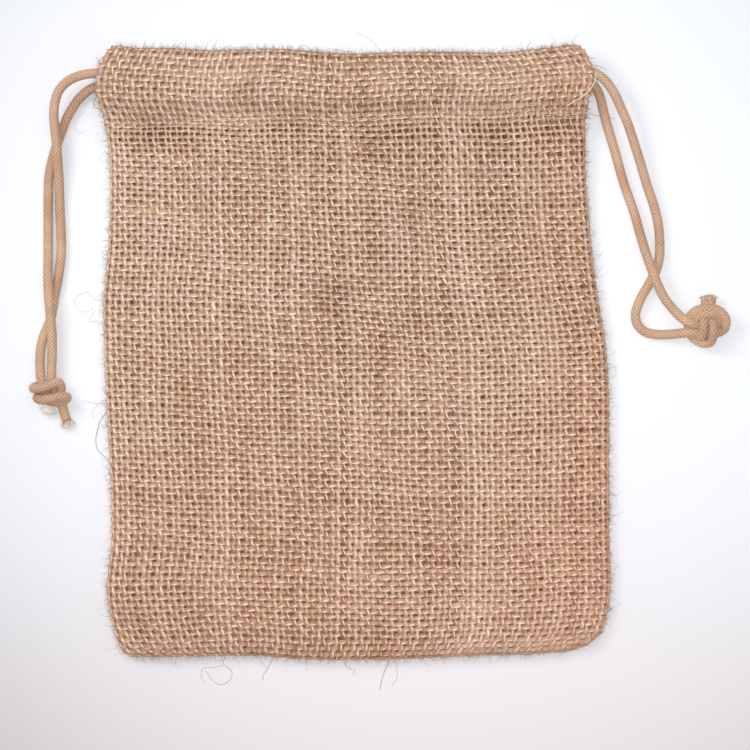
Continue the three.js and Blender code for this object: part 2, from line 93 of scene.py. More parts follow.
RIGHT_FRONT_STRAND = [
    (160, 9.8, 4.2), (155.3, 9.5, 3), (150.5, 9.8, 2.5), (145.6, 11.2, 2.5), (142.1, 14.9, 2.5),
    (141.3, 20, 2.5), (143.4, 26.6, 2.5), (147.6, 34.2, 2.5), (151.2, 40.9, 2.5), (153.1, 47.5, 2.5),
    (153.4, 55, 2.5), (152.6, 65, 2.5), (150.5, 74, 2.8), (147.4, 83, 3.6), (142.6, 98.5, 5.6),
    (136.9, 115.4, 8.4), (134.1, 121.6, 9.6), (131.7, 127, 10.7), (129, 131.9, 11.6),
    (125.6, 136.3, 12.4), (121.6, 139.4, 12.9), (118, 140.8, 13.1),
]
RIGHT_BACK_STRAND = [
    (118.2, 136.2, 4.2), (121.4, 133, 4), (123.5, 128.4, 3.4), (125, 122.4, 2.8), (126.7, 115.6, 2.5),
    (131, 101, 2.5), (135.5, 85, 2.5), (140.7, 70, 2.7), (143.4, 60, 3.9), (145.9, 51.5, 5.8),
    (149, 42.3, 7.7), (152, 34.6, 7.6), (155.8, 27.4, 6.6), (159.3, 22.8, 6.6),
]
LEFT_FRONT_KNOT = [
    (-156.8, -9.4, 6.6), (-156.2, -13.8, 6.2), (-155.2, -17.8, 5.2), (-153.4, -21.4, 4.2),
    (-149.6, -24, 3.6), (-145.4, -23.6, 5), (-143.4, -21.8, 7.8), (-146.6, -21.6, 10.4),
    (-151.6, -22.6, 10.9), (-156.2, -23, 9.4), (-158.4, -22.2, 5.8), (-156.6, -20.6, 3),
    (-153.4, -21.4, 2.5), (-152.2, -24.6, 2.9), (-152.4, -26, 3),
]
LEFT_BACK_KNOT = [
    (-151.2, -9.4, 6.8), (-151.1, -13, 6.2), (-150.5, -16.6, 5), (-148.4, -19.2, 4.4),
    (-146.4, -18, 6.6), (-147.4, -14.6, 9.6), (-151.6, -15.8, 11.3), (-156.6, -17.4, 10.2),
    (-160.2, -17.4, 6.6), (-158.8, -16.4, 2.9), (-153.8, -17.4, 2.4), (-149, -20.4, 2.5),
    (-146.4, -25, 2.9), (-144.8, -30.4, 2.8), (-144.1, -32.9, 2.7),
]
RIGHT_FRONT_KNOT = [
    (164, 10.2, 5.7), (168.2, 10.6, 7.4), (172.4, 10.2, 6.6), (176.4, 10, 4.6), (181, 10.1, 4),
    (185.6, 12.6, 5.4), (186, 17.4, 7.4), (182.8, 21.2, 9), (177.2, 22.6, 9.6), (171.2, 21.2, 8),
    (167.8, 17.4, 5), (167.9, 12.6, 2.7), (170, 8.2, 2.8), (174.2, 5.6, 4.4), (178.4, 5.8, 7),
    (179.8, 11, 10.4), (179.2, 16.8, 8.2), (178.8, 21.2, 5), (179, 26.8, 4.6),
]
RIGHT_BACK_KNOT = [
    (162.9, 18.9, 7.6), (167.2, 15.8, 9.2), (171, 14.3, 7.6), (175, 13.8, 5.2), (179.2, 13.8, 4.6),
    (182.4, 15.6, 6.2), (181.6, 18.6, 8.6), (177.2, 19.8, 10.6), (172.4, 18.8, 8.6),
    (170.8, 15.6, 5.2), (171.4, 11.4, 2.8), (172.8, 8.4, 4.4), (174.4, 9.4, 8.6), (174.8, 13.4, 10.6),
    (175.6, 17.8, 8.4), (176.4, 21.6, 5), (176.2, 26.4, 4.6),
]

# Inside the two tunnels of the mouth: first and last place in each, and the turn between them.
TUNNEL_STATIONS = 9
LEFT_HIDDEN = {
    "front": ((-123, 140.1), (110, 136.3)),
    "turn": [(113.6, 135.4, 12.6), (115, 133.6, 9.4), (114, 131, 5.8), (110.6, 129.2, 4.3)],
    "back": ((105, 128.9), (-117, 134.9)),
    "last": (-123, 135),
}
RIGHT_HIDDEN = {
    "front": ((113.5, 141.6), (-113, 145.6)),
    "turn": [(-117.6, 145.7, 13.4), (-119.7, 145.2, 9.8), (-118.4, 143.2, 5.8), (-114.6, 141.6, 4.3)],
    "back": ((-109, 141), (108, 139.2)),
    "last": (114, 138.4),
}

# The mouth stands open in the middle, which lifts the front tunnel and the cord in it.
CLOTH = 1.4
TUNNEL = 5.5
HALF_CLOTH, HALF_TUNNEL = CLOTH / 2, (CLOTH + TUNNEL) / 2
GAP = 0.35
MOUTH_OPEN = 4.9
MOUTH_MIDDLE, MOUTH_HALF = -4.59, 124.6
BACK_HEM_Z = HALF_CLOTH + CLOTH + TUNNEL
BACK_CORD_Z = HALF_CLOTH + HALF_TUNNEL


def front_hem_z(x):
    """Height of the middle of the front hem's cloth at a place across the mouth."""
    across = np.clip(np.abs(x - MOUTH_MIDDLE) / MOUTH_HALF, 0, 1)
    return BACK_HEM_Z + CLOTH + GAP + MOUTH_OPEN * (1 - across**4)


def hidden_rows(hidden):
    """The middle of a cord through both tunnels."""

    def run(ends, height):
        places = np.linspace(*np.array(ends, float), TUNNEL_STATIONS + 1)
        return [(x, y, float(height(x))) for x, y in places]

    front = run(hidden["front"], lambda x: front_hem_z(x) + HALF_TUNNEL)
    back = run(hidden["back"], lambda x: BACK_CORD_Z)
    return [*front, *hidden["turn"], *back, (*hidden["last"], BACK_CORD_Z)]


CURVE_SPLITS = 24               # points worked out between two rows of a curve


def smooth_line(rows, step):
    """A smooth curve through rows, as points about step apart, and the number of the point nearest to
    each row."""
    rows = np.array(rows, float)
    rows = np.vstack([2 * rows[0] - rows[1], rows, 2 * rows[-1] - rows[-2]])
    share = np.linspace(0, 1, CURVE_SPLITS, endpoint=False)[:, None]
    fine = []
    for a, b, c, d in zip(rows, rows[1:], rows[2:], rows[3:]):
        before, here, after = (
            max(np.linalg.norm(q - p) ** 0.5, 1e-4) for p, q in ((a, b), (b, c), (c, d)))
        start = ((b - a) / before - (c - a) / (before + here) + (c - b) / here) * here
        end = ((c - b) / here - (d - b) / (here + after) + (d - c) / after) * here
        fine.append(b + start * share + (3 * (c - b) - 2 * start - end) * share**2
                    + (2 * (b - c) + start + end) * share**3)
    fine = np.vstack([*fine, rows[-2:-1]])
    along = np.concatenate([[0], np.cumsum(np.linalg.norm(np.diff(fine, axis=0), axis=1))])
    count = int(round(along[-1] / step)) + 1
    even = np.linspace(0, along[-1], count)
    line = np.stack([np.interp(even, along, fine[:, k]) for k in range(3)], axis=1)
    nearest = np.round(along[::CURVE_SPLITS] / along[-1] * (count - 1)).astype(int)
    return line, nearest


def unit(vectors):
    return vectors / np.maximum(np.linalg.norm(vectors, axis=-1, keepdims=True), 1e-9)


def round_turn(sides):
    """The angles of the corners of a ring."""
    return np.arange(sides) / sides * 2 * math.pi


def turning_frame(line):
    """Directions across a line at each point, turned as little as possible from one to the next."""
    forward = unit(np.gradient(line, axis=0))
    across = np.empty_like(forward)
    side = np.cross(forward[0], (0, 0, 1))
    for i, ahead in enumerate(forward):
        side = unit(side - side.dot(ahead) * ahead)
        across[i] = side
    return across, np.cross(across, forward)


# The maps of a mesh of tubes: metres from one tube to the next in "Along", and in the other the free edge
# of each tube's strip, the margin at its ends, and the size and place of the end caps in that margin.
TUBES_APART = 0.37
STRIP_EDGE, MARGIN = 0.06, 0.004
CAP_SIZE, CAP_PLACE = 0.3, 0.4


def mesh_of_tubes(name, rings, attributes, lengths):
    """One mesh of closed tubes. rings is tubes x stations x corners x 3 in millimetres, and attributes
    holds one number for each station or corner. The map "Along" is in metres: along the tube, and around
    it from its first corner. The other map gives each tube a strip of its own."""
    tubes, stations, sides = rings.shape[:3]
    at = np.arange(tubes * stations * sides).reshape(tubes, stations, sides)
    ahead = np.roll(at, -1, axis=2)
    walls = np.stack([at[:, :-1], ahead[:, :-1], ahead[:, 1:], at[:, 1:]], axis=-1).reshape(-1, 4)
    starts, ends = at[:, 0, ::-1], at[:, -1]
    loops = np.concatenate([walls.ravel(), starts.ravel(), ends.ravel()])
    sizes = np.concatenate([np.full(len(walls), 4), np.full(2 * tubes, sides)])
    mesh = bpy.data.meshes.new(name)
    mesh.vertices.add(at.size)
    mesh.vertices.foreach_set("co", (rings * MM).astype(np.float32).ravel())
    mesh.loops.add(len(loops))
    mesh.loops.foreach_set("vertex_index", loops.astype(np.int32))
    mesh.polygons.add(len(sizes))
    starts_at = np.concatenate([[0], np.cumsum(sizes)[:-1]])
    mesh.polygons.foreach_set("loop_start", starts_at.astype(np.int32))
    mesh.update(calc_edges=True)
    mesh.polygons.foreach_set("use_smooth", np.ones(len(sizes), bool))

    for key, values in attributes.items():
        values = np.broadcast_to(values.reshape(tubes, stations, -1), (tubes, stations, sides))
        layer = mesh.attributes.new(key, "FLOAT", "POINT")
        layer.data.foreach_set("value", values.astype(np.float32).ravel())

    tube, station, corner = np.indices((tubes, stations - 1, sides))
    corners = np.array([(0, 0), (0, 1), (1, 1), (1, 0)])
    place = station[..., None] + corners[:, 0]
    turn = (corner[..., None] + corners[:, 1]) / sides
    along = np.broadcast_to(lengths, (tubes, stations))[tube[..., None], place] * MM
    along = along + TUBES_APART * tube[..., None]
    reach = np.linalg.norm(np.diff(rings, axis=2), axis=-1).mean() * sides * MM
    past_half = corner[..., None] >= sides / 2
    metres = np.stack([along, (turn - past_half) * reach], axis=-1).reshape(-1, 2)
    strip = (tube[..., None] + STRIP_EDGE + (1 - 2 * STRIP_EDGE) * turn) / tubes
    baked = np.stack([MARGIN + (1 - 2 * MARGIN) * place / (stations - 1), strip], axis=-1).reshape(-1, 2)
    angle = round_turn(sides)
    cap = np.stack([CAP_SIZE * MARGIN * np.cos(angle), CAP_SIZE / tubes * np.sin(angle)], axis=-1)
    middles = (np.arange(tubes) + 0.5) / tubes
    for end, direction in ((CAP_PLACE * MARGIN, -1), (1 - CAP_PLACE * MARGIN, 1)):
        caps = np.stack([np.full(tubes, end), middles], axis=-1)[:, None] + cap[None, ::direction]
        baked = np.concatenate([baked, caps.reshape(-1, 2)])
        metres = np.concatenate([metres, caps.reshape(-1, 2) * MM])
    for key, places in (("Along", metres), ("OFBake", baked)):
        layer = mesh.uv_layers.new(name=key, do_init=False)
        layer.data.foreach_set("uv", places.astype(np.float32).ravel())
    return mesh


def add_tubes(name, rings, attributes, lengths, material):
    """Adds a piece of closed tubes, all of one material."""
    piece = add_object(name, mesh_of_tubes(name, rings, attributes, lengths))
    piece.data.materials.append(material)
    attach(piece, "root")
    return piece


def new_material(name, roughness, sheen, sheen_tint):
    material = bpy.data.materials.new(name)
    material.use_nodes = True
    shader = material.node_tree.nodes["Principled BSDF"]
    shader.inputs["Roughness"].default_value = roughness
    shader.inputs["Sheen Weight"].default_value = sheen
    shader.inputs["Sheen Roughness"].default_value = 0.5
    shader.inputs["Sheen Tint"].default_value = (*sheen_tint, 1)
    shader.inputs["Specular IOR Level"].default_value = 0.2
    return material


def node(material, kind, settings=(), **inputs):
    """Adds a shader node; an input is a value or another node's output."""
    made = material.node_tree.nodes.new(kind)
    for key, value in dict(settings).items():
        setattr(made, key, value)
    for key, value in inputs.items():
        socket = made.inputs[int(key[1:]) if key[1:].isdigit() else key.replace("_", " ")]
        if isinstance(value, bpy.types.NodeSocket):
            material.node_tree.links.new(value, socket)
        else:
            socket.default_value = value
    return made


def ramp(material, factor, stops):
    """A colour ramp with given stops of place and colour."""
    made = node(material, "ShaderNodeValToRGB", Fac=factor)
    band = made.color_ramp
    while len(band.elements) < len(stops):
        band.elements.new(0.5)
    for element, (place, colour) in zip(band.elements, stops):
        element.position = place
        element.color = (*colour, 1)
    return made.outputs["Color"]


def attribute(material, name):
    return node(material, "ShaderNodeAttribute", {"attribute_name": name}).outputs["Fac"]


def along_map(material):
    return node(material, "ShaderNodeUVMap", {"uv_map": "Along"}).outputs["UV"]


def object_place(material):
    return node(material, "ShaderNodeTexCoord").outputs["Object"]


def noise(material, vector, scale, detail=4.0, roughness=0.5):
    return node(material, "ShaderNodeTexNoise", Vector=vector, Scale=scale, Detail=detail,
                Roughness=roughness).outputs["Fac"]


def streaked(material, along, turned, scale, detail, roughness=0.5):
    """Noise drawn out along a tube: its scale along and around, and how far it is turned."""
    stretched = node(material, "ShaderNodeMapping", Vector=along, Rotation=(0, 0, turned), Scale=(*scale, 1))
    return noise(material, stretched.outputs["Vector"], 1.0, detail, roughness)


def weighted(material, terms, offset):
    """A sum of node outputs, each times its weight."""
    total = offset
    for output, weight in terms:
        total = node(material, "ShaderNodeMath", {"operation": "MULTIPLY_ADD"}, _0=output, _1=weight,
                     _2=total).outputs[0]
    return total


def eased(material, value, start, end, first=0.0, last=1.0):
    """Goes smoothly from first to last while value goes from start to end."""
    return node(material, "ShaderNodeMapRange", {"interpolation_type": "SMOOTHSTEP"}, Value=value,
                From_Min=start, From_Max=end, To_Min=first, To_Max=last).outputs["Result"]


def mixed(material, factor, first, second, blend="MIX"):
    """Two colours mixed; each is a colour or a node's output."""
    return node(material, "ShaderNodeMix", {"data_type": "RGBA", "clamp_factor": True, "blend_type": blend},
                _0=factor, _6=first, _7=second).outputs[2]


def surface(material, colour, relief=None, strength=1.0):
    """Gives a material its colour and, where it has one, its fine relief of a fifth of a millimetre."""
    shader = material.node_tree.nodes["Principled BSDF"]
    material.node_tree.links.new(colour, shader.inputs["Base Color"])
    if relief is not None:
        bump = node(material, "ShaderNodeBump", Strength=strength, Distance=0.2 * MM, Height=relief)
        material.node_tree.links.new(bump.outputs["Normal"], shader.inputs["Normal"])


# Braided cotton: matt tan, with painted shade in the grooves of the braid, fine fibres along each strand and
# a few dark specks.
cotton = new_material("cotton_cord", 0.85, 0.25, (1, 0.9, 0.8))
fibres = streaked(cotton, along_map(cotton), 0.0, (1400, 5200), 3.0)
patches = noise(cotton, object_place(cotton), 70.0)
# Where the braid's relief is low, in its grooves, the cord is darker: painted shade.
tone = weighted(cotton, [(patches, 0.5), (fibres, 0.35), (attribute(cotton, "relief"), 0.66)], -0.13)
cotton_colour = ramp(cotton, tone, [
    (0.1, (0.16, 0.078, 0.04)), (0.4, (0.338, 0.19, 0.114)), (0.65, (0.512, 0.316, 0.202)),
    (0.95, (0.715, 0.5, 0.356))])
specks = node(cotton, "ShaderNodeMapRange", Value=noise(cotton, object_place(cotton), 900.0, 1.0),
              From_Min=0.7, From_Max=0.76).outputs["Result"]
cotton_colour = mixed(cotton, specks, cotton_colour, (0.4, 0.33, 0.28, 1), "MULTIPLY")
surface(cotton, cotton_colour, fibres, 0.5)


class Cord:
    """One drawstring from tail to tail, cut where it changes from free cord to hidden or knotted."""

    def __init__(self, side, front_knot, front, hidden, back, back_knot):
        inside = hidden_rows(hidden)
        self.side = side
        self.line, row = smooth_line([*front_knot[::-1], *front, *inside, *back, *back_knot], RING_STEP)
        self.across, self.up = turning_frame(self.line)
        knot_end = len(front_knot) - 1
        tunnel = knot_end + len(front)
        back_start = len(row) - len(back_knot)
        self.spans = {
            "front_knot": (0, row[knot_end]), "front_strand": (row[knot_end], row[tunnel]),
            "hidden_run": (row[tunnel], row[back_start - len(back)]),
            "back_strand": (row[back_start - len(back)], row[back_start]),
            "back_knot": (row[back_start], len(self.line) - 1),
        }

    def rings(self, span, sides, step=1):
        """The braided surface of one span, its relief and its length so far."""
        first, last = self.spans[span]
        pick = np.unique(np.append(np.arange(first, last + 1, step), last))
        angle = round_turn(sides)
        here = pick[:, None] * RING_STEP / BRAID_LENGTH
        one_way = CARRIERS * angle / (2 * math.pi) + here
        other_way = CARRIERS * angle / (2 * math.pi) - here
        rise_one, rise_other = (np.cos(math.pi * (way % 1 - 0.5)) for way in (one_way, other_way))
        over = (np.floor(one_way) + np.floor(other_way)) % 2 == 0
        one, other = ((1 - STRAND_SIDE) * rise + STRAND_SIDE for rise in (rise_one, rise_other))
        height = np.where(over, rise_one * other, rise_other * one)
        radius = CORD / 2 + BRAID_RELIEF * (height - BRAID_MIDDLE)
        out = (np.cos(angle)[:, None] * self.across[pick, None]
               + np.sin(angle)[:, None] * self.up[pick, None])
        return self.line[pick, None] + radius[..., None] * out, height, pick * RING_STEP


left_cord = Cord(
    "left", LEFT_FRONT_KNOT, LEFT_FRONT_STRAND, LEFT_HIDDEN, LEFT_BACK_STRAND, LEFT_BACK_KNOT)
right_cord = Cord(
    "right", RIGHT_FRONT_KNOT, RIGHT_FRONT_STRAND, RIGHT_HIDDEN, RIGHT_BACK_STRAND, RIGHT_BACK_KNOT)


def cord_piece(cord, span, sides, step=1):
    points, height, length = cord.rings(span, sides, step)
    return add_tubes(f"{cord.side}_{span}_braid", points[None], {"relief": height[None]}, length[None],
                     cotton)


STRAND_SIDES = 28
HIDDEN_SIDES, HIDDEN_STEP = 12, 5       # the run inside the tunnels is made more coarsely
for cord in (left_cord, right_cord):
    hidden_run = cord_piece(cord, "hidden_run", HIDDEN_SIDES, HIDDEN_STEP)
    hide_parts(f"{cord.side}_hidden_run")
    knot_turns = [cord_piece(cord, span, STRAND_SIDES) for span in ("front_knot", "back_knot")]
    for turn in knot_turns:
        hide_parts(f"{cord.side}_knot")
    for span in ("front_strand", "back_strand"):
        strand = cord_piece(cord, span, STRAND_SIDES)
        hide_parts(f"{cord.side}_{span}")

# ---------------------------------------------------------------- cloth of the two panels
# Each panel is one piece of plain-woven burlap: flattened jute yarns, about three millimetres apart,
# over and under each other. Its top is turned over and stitched down as a tunnel for the cords.

HALF_HEIGHT = 152
STITCH_Y = 117.5
RETURN_END_Y = 115.5
TUNNEL_FULL_Y = 128
HEM_DROP = CLOTH + 0.4
FOLD_REACH = 5.5
FOLD_Y = HALF_HEIGHT - FOLD_REACH
HEM_INSET = (12, 10)
SEAM_Z, SEAM_RISE = 3.2, 2.8
BODY_Z = 8.3
FRONT_EDGE, BACK_EDGE = 9, 6
UNSEWN_Y = 106
SEAM_CLIMB = (72, 110)          # between these heights the side seams rise towards the mouth
FRONT_CLIMB_Y = 40              # from here up the front rises to its hem
MOUTH_LINE_Y = 98               # from here up the cloth follows the line of the mouth
SIDE_SAG = 0.9
# The front ripples slightly: how much, and the lengths of its two waves across and along.
RIPPLE, RIPPLE_ONE, RIPPLE_OTHER = 0.22, (27, 90), (120, 33)
DRAWN_IN = 0.4                  # share of the fold after which the hem draws in from the sides
EDGE_SPLITS = 60                # steps in which a rounded edge is measured

# Height up the panel, left edge, right edge.
SIDES = [
    (-152, -111, 108), (-150, -115.3, 115), (-143, -118.8, 123.6), (-130, -122.4, 127.6),
    (-116, -123.8, 129), (-92, -121.4, 128.3), (-52, -122.5, 128.2), (-20, -124.3, 128.1),
    (4, -125.2, 126.6), (28, -125.6, 122.7), (52, -123.3, 119.7), (80, -122.2, 117.2),
    (98, -122.3, 116.2), (112, -124.3, 116.3), (120, -126.6, 117.2), (127, -128.9, 118.4),
    (135, -129, 120.2), (142, -127.3, 119.4), (148, -124.3, 116.4), (152, -121.4, 113.4),
]
# Place across, height of the bottom seam, and the same for the fold of the mouth.
BOTTOM = [
    (-112, -152.1), (-97, -152.2), (-52, -151.6), (-20, -153.6), (20, -153.4), (44, -152.4),
    (73, -151.2), (89, -150.7), (100, -149.8), (112, -149.1),
]
MOUTH = [
    (-122, 154.1), (-109, 152.6), (-89, 152.2), (-70, 151.1), (-36, 151.8), (-4, 149.5),
    (36, 150.6), (73, 150.1), (97, 152.6), (114, 154.4),
]
# Hollows and swells of the front: middle x and y, half widths across and along, rise.
CREASES = [
    (-96, 109, 24, 9, -1.4), (-27, 110, 15, 7, -1.0), (60, 108, 34, 8, -0.8), (-12, 27, 34, 12, -0.6),
    (-62, 66, 30, 22, 0.5), (70, 30, 34, 26, 0.4), (-60, -70, 40, 30, 0.5), (42, -96, 46, 26, -0.4),
]


def table_curve(rows, column):
    """A smooth curve through the rows of a table, from its first column to another."""
    rows = np.array(rows, float)
    places, values = rows[:, 0], rows[:, column]
    slopes = np.gradient(values, places)
    slopes[1:-1] = (values[2:] - values[:-2]) / (places[2:] - places[:-2])

    def at(place):
        place = np.clip(place, places[0], places[-1])
        i = np.clip(np.searchsorted(places, place, side="right") - 1, 0, len(places) - 2)
        width = places[i + 1] - places[i]
        t = (place - places[i]) / width
        return ((2 * t**3 - 3 * t**2 + 1) * values[i] + (t**3 - 2 * t**2 + t) * slopes[i] * width
                + (3 * t**2 - 2 * t**3) * values[i + 1] + (t**3 - t**2) * slopes[i + 1] * width)

    return at


left_edge, right_edge = table_curve(SIDES, 1), table_curve(SIDES, 2)
bottom_edge, mouth_edge = table_curve(BOTTOM, 1), table_curve(MOUTH, 1)


def smooth(start, end, value):
    t = np.clip((value - start) / (end - start), 0, 1)
    return t * t * (3 - 2 * t)


def quarter_round(distance, width):
    return np.sqrt(1 - (1 - np.clip(distance / width, 0, 1)) ** 2)


def tunnel_rise(y):
    return (CLOTH + TUNNEL - HEM_DROP) * smooth(STITCH_Y, TUNNEL_FULL_Y, y)


def seam_z(y):
    return SEAM_Z + SEAM_RISE * smooth(*SEAM_CLIMB, y)


def creases(x, y):
    return sum(rise * np.exp(-(((x - cx) / across) ** 2) - ((y - cy) / along) ** 2)
               for cx, cy, across, along, rise in CREASES)


class Panel:
    """The middle of one panel's cloth, found from a place across it and the length of cloth up from
    the bottom seam, over the fold of the mouth and back down inside."""

    def __init__(self, front):
        self.front = front
        self.edge = FRONT_EDGE if front else BACK_EDGE
        rise = (BODY_Z if front else HALF_CLOTH) - SEAM_Z
        turn = np.linspace(0, math.pi / 2, EDGE_SPLITS)
        self.edge_plan = self.edge * (1 - np.cos(turn))
        step = np.hypot(np.diff(self.edge_plan), np.diff(rise * np.sin(turn)))
        self.edge_arc = np.concatenate([[0], np.cumsum(step)])
        self.spare = self.edge_arc[-1] - self.edge      # cloth used up by the rounded edge
        self.fold_start = FOLD_Y + HALF_HEIGHT + self.spare
        self.fold_arc = math.pi * math.sqrt((FOLD_REACH**2 + HALF_TUNNEL**2) / 2)
        self.length = self.fold_start + self.fold_arc + FOLD_Y - RETURN_END_Y
        self.width = right_edge(0) - left_edge(0) - CLOTH + 2 * self.spare

    def reach(self, arc):
        """How far a length of cloth reaches in from the rounded edge."""
        return np.where(arc < self.edge_arc[-1], np.interp(arc, self.edge_arc, self.edge_plan),
                        arc - self.spare)

    def outer_z(self, x, y, nominal):
        edge_distance = np.minimum(x - left_edge(nominal), right_edge(nominal) - x) - HALF_CLOTH
        side = quarter_round(edge_distance, self.edge)
        opened = smooth(UNSEWN_Y, STITCH_Y, y)
        lift = (side + (1 - side) * opened) * quarter_round(y - bottom_edge(x) - HALF_CLOTH, self.edge)
        if not self.front:
            seam = seam_z(y) - GAP / 2
            return seam + (HALF_CLOTH - seam) * lift
        seam = seam_z(y) + GAP / 2
        across = (x - MOUTH_MIDDLE) / MOUTH_HALF
        (one_x, one_y), (other_x, other_y) = RIPPLE_ONE, RIPPLE_OTHER
        ripple = creases(x, y) + (
            RIPPLE * np.sin(x / one_x + y / one_y + 0.6) * np.cos(y / other_y - x / other_x))
        climb = np.clip((y - FRONT_CLIMB_Y) / (STITCH_Y - FRONT_CLIMB_Y), 0, 1) ** 2
        hem = front_hem_z(x) + HEM_DROP
        body = BODY_Z - SIDE_SAG * across**4 + ripple + (hem - BODY_Z) * climb
        return np.where(y >= STITCH_Y, hem + tunnel_rise(y), seam + (body - seam) * lift)

    def place(self, s, q):
        """Points for shares s of the width and lengths q up the cloth."""
        turned = np.clip((q - self.fold_start) / self.fold_arc, 0, 1)
        inside = np.clip(q - self.fold_start - self.fold_arc, 0, None)
        nominal = np.where(turned > 0, FOLD_Y + FOLD_REACH * np.sin(math.pi * turned) - inside,
                           self.reach(q) - HALF_HEIGHT)
        drawn_in = smooth(DRAWN_IN, 1, turned)
        left = left_edge(nominal) + HALF_CLOTH + HEM_INSET[0] * drawn_in
        right = right_edge(nominal) - HALF_CLOTH - HEM_INSET[1] * drawn_in
        flat = np.where(turned > 0, 1, smooth(UNSEWN_Y, STITCH_Y, nominal))
        spare = self.spare * (1 - flat)
        total = right - left + 2 * spare
        arc = np.minimum(s, 1 - s) * total
        plan = self.reach(arc) * (1 - flat) + arc * flat
        x = np.where(s < 0.5, left + plan, right - plan)
        near_bottom = np.clip(-nominal / HALF_HEIGHT, 0, 1) ** 4
        near_mouth = np.clip((nominal - MOUTH_LINE_Y) / (FOLD_Y - MOUTH_LINE_Y), 0, 1)
        y = (nominal + near_bottom * (bottom_edge(x) + HALF_CLOTH + HALF_HEIGHT)
             + near_mouth * (mouth_edge(x) - HALF_CLOTH - HALF_HEIGHT))
        if self.front:
            hem = front_hem_z(x)
            folded = hem + HALF_TUNNEL + HALF_TUNNEL * np.cos(math.pi * turned)
        else:
            hem = HALF_CLOTH + HEM_DROP + tunnel_rise(y)
            folded = HALF_CLOTH + HALF_TUNNEL - HALF_TUNNEL * np.cos(math.pi * turned)
        z = np.where(turned <= 0, self.outer_z(x, y, nominal), np.where(turned < 1, folded, hem))
        return np.stack([x, y, z], axis=-1)

    def normal(self, s, q):
        """The cloth's upward direction before it is folded."""
        ds, dq = 0.002, 0.5
        east = self.place(np.minimum(s + ds, 1), q) - self.place(np.maximum(s - ds, 0), q)
        north = self.place(s, np.minimum(q + dq, self.length)) - self.place(s, np.maximum(q - dq, 0))
        return unit(np.cross(east, north))


WARP_PITCH, WEFT_PITCH = 3.12, 2.985
YARN_WIDTH, YARN_THICK = 2.36, 0.78
BACK_YARN_WIDTH = 2.6
CRIMP = 0.34                    # how far a yarn swings to either side of the middle of the cloth
WARP_SLANT, WEFT_SLANT = 0.2, 0.08      # how far a float leans over half its length
# The pale line on each float is a painted highlight along the twist, given at the float's start, middle and
# end: where it lies around the yarn, and how strong it is. A warp float starts at its lower end, a weft float
# at its left.
WARP_HIGHLIGHT_PLACE, WARP_HIGHLIGHT = (-0.85, -0.36, 0.12), (0.62, 1.3, 0.38)
WEFT_HIGHLIGHT_PLACE, WEFT_HIGHLIGHT = (-0.58, -0.4, -0.22), (0.62, 1.3, 0.4)
# How much narrower a yarn is between its crossings, and how much the yarns' shades, the strength of their
# painted highlight and the shade along each of them vary.
WARP_VARIES, WEFT_VARIES = (0.12, 0.2, 0.16, 0.18), (0.04, 0.06, 0.05, 0.1)
# Unevenness of the spacing: from yarn to yarn, and with the lengths of its waves along each yarn and over
# the whole cloth. It fades out near the edges.
WARP_UNEVEN = (0.16, ((16, 37, 80), 0.2), ((45, 60, 90, 140), 0.75))
WEFT_UNEVEN = (0.14, ((15, 40, 90), 0.18), ((50, 70, 110, 150), 0.6))
EVEN_EDGE = 12
# The rows of weft sag in a shallow V: its slope, how far right of the middle it is lowest, how round it is
# there and its mean depth. It fades in above the bottom seam and out below the fold.
BOW_SLOPE, BOW_LOWEST, BOW_ROUND, BOW_MEAN = 0.036, 63, 18, 78
BOW_IN, BOW_OUT = (20, 60), (60, 25)

chance = np.random.default_rng(11)


def drift(count, places, lengths, amount):
    """Slow random wander of count yarns along their length, from waves of the given lengths."""
    total = np.zeros((count, places.shape[-1]))
    for length in lengths:
        stretch = chance.uniform(0.75, 1.3, (count, 1))
        phase = chance.uniform(0, 2 * math.pi, (count, 1))
        total += np.sin(2 * math.pi * places / (length * stretch) + phase)
    return total * amount / math.sqrt(len(lengths))


def swell(x, y, lengths, amount):
    """A slow random field over the cloth."""
    total = np.zeros(np.broadcast(x, y).shape)
    for length in lengths:
        heading, phase = chance.uniform(0, 2 * math.pi, 2)
        total += np.sin(2 * math.pi * (x * math.cos(heading) + y * math.sin(heading)) / length + phase)
    return total * amount / math.sqrt(len(lengths))


# The casing's stitches, as place across and height, and where they pull the cloth below them open:
# middle, half width, share of the yarn's width that is lost.
STITCHES = [(-128, 114.8), (-95, 115.6), (-60, 117), (0, 117.5), (60, 117.9), (95, 118.8), (118, 119.8)]
PULLED = [(-94, 22, 0.3), (-30, 14, 0.2), (28, 18, 0.18), (68, 14, 0.22), (98, 12, 0.25)]
PULL_BAND, PULL = ((-1, 2), (7, 16)), 0.07      # where it starts and ends below them, and the least pull
STITCH_SQUEEZE, SQUEEZE_REACH = 0.375, 6        # how far the rows of weft are drawn towards them
stitch_y = table_curve(STITCHES, 1)


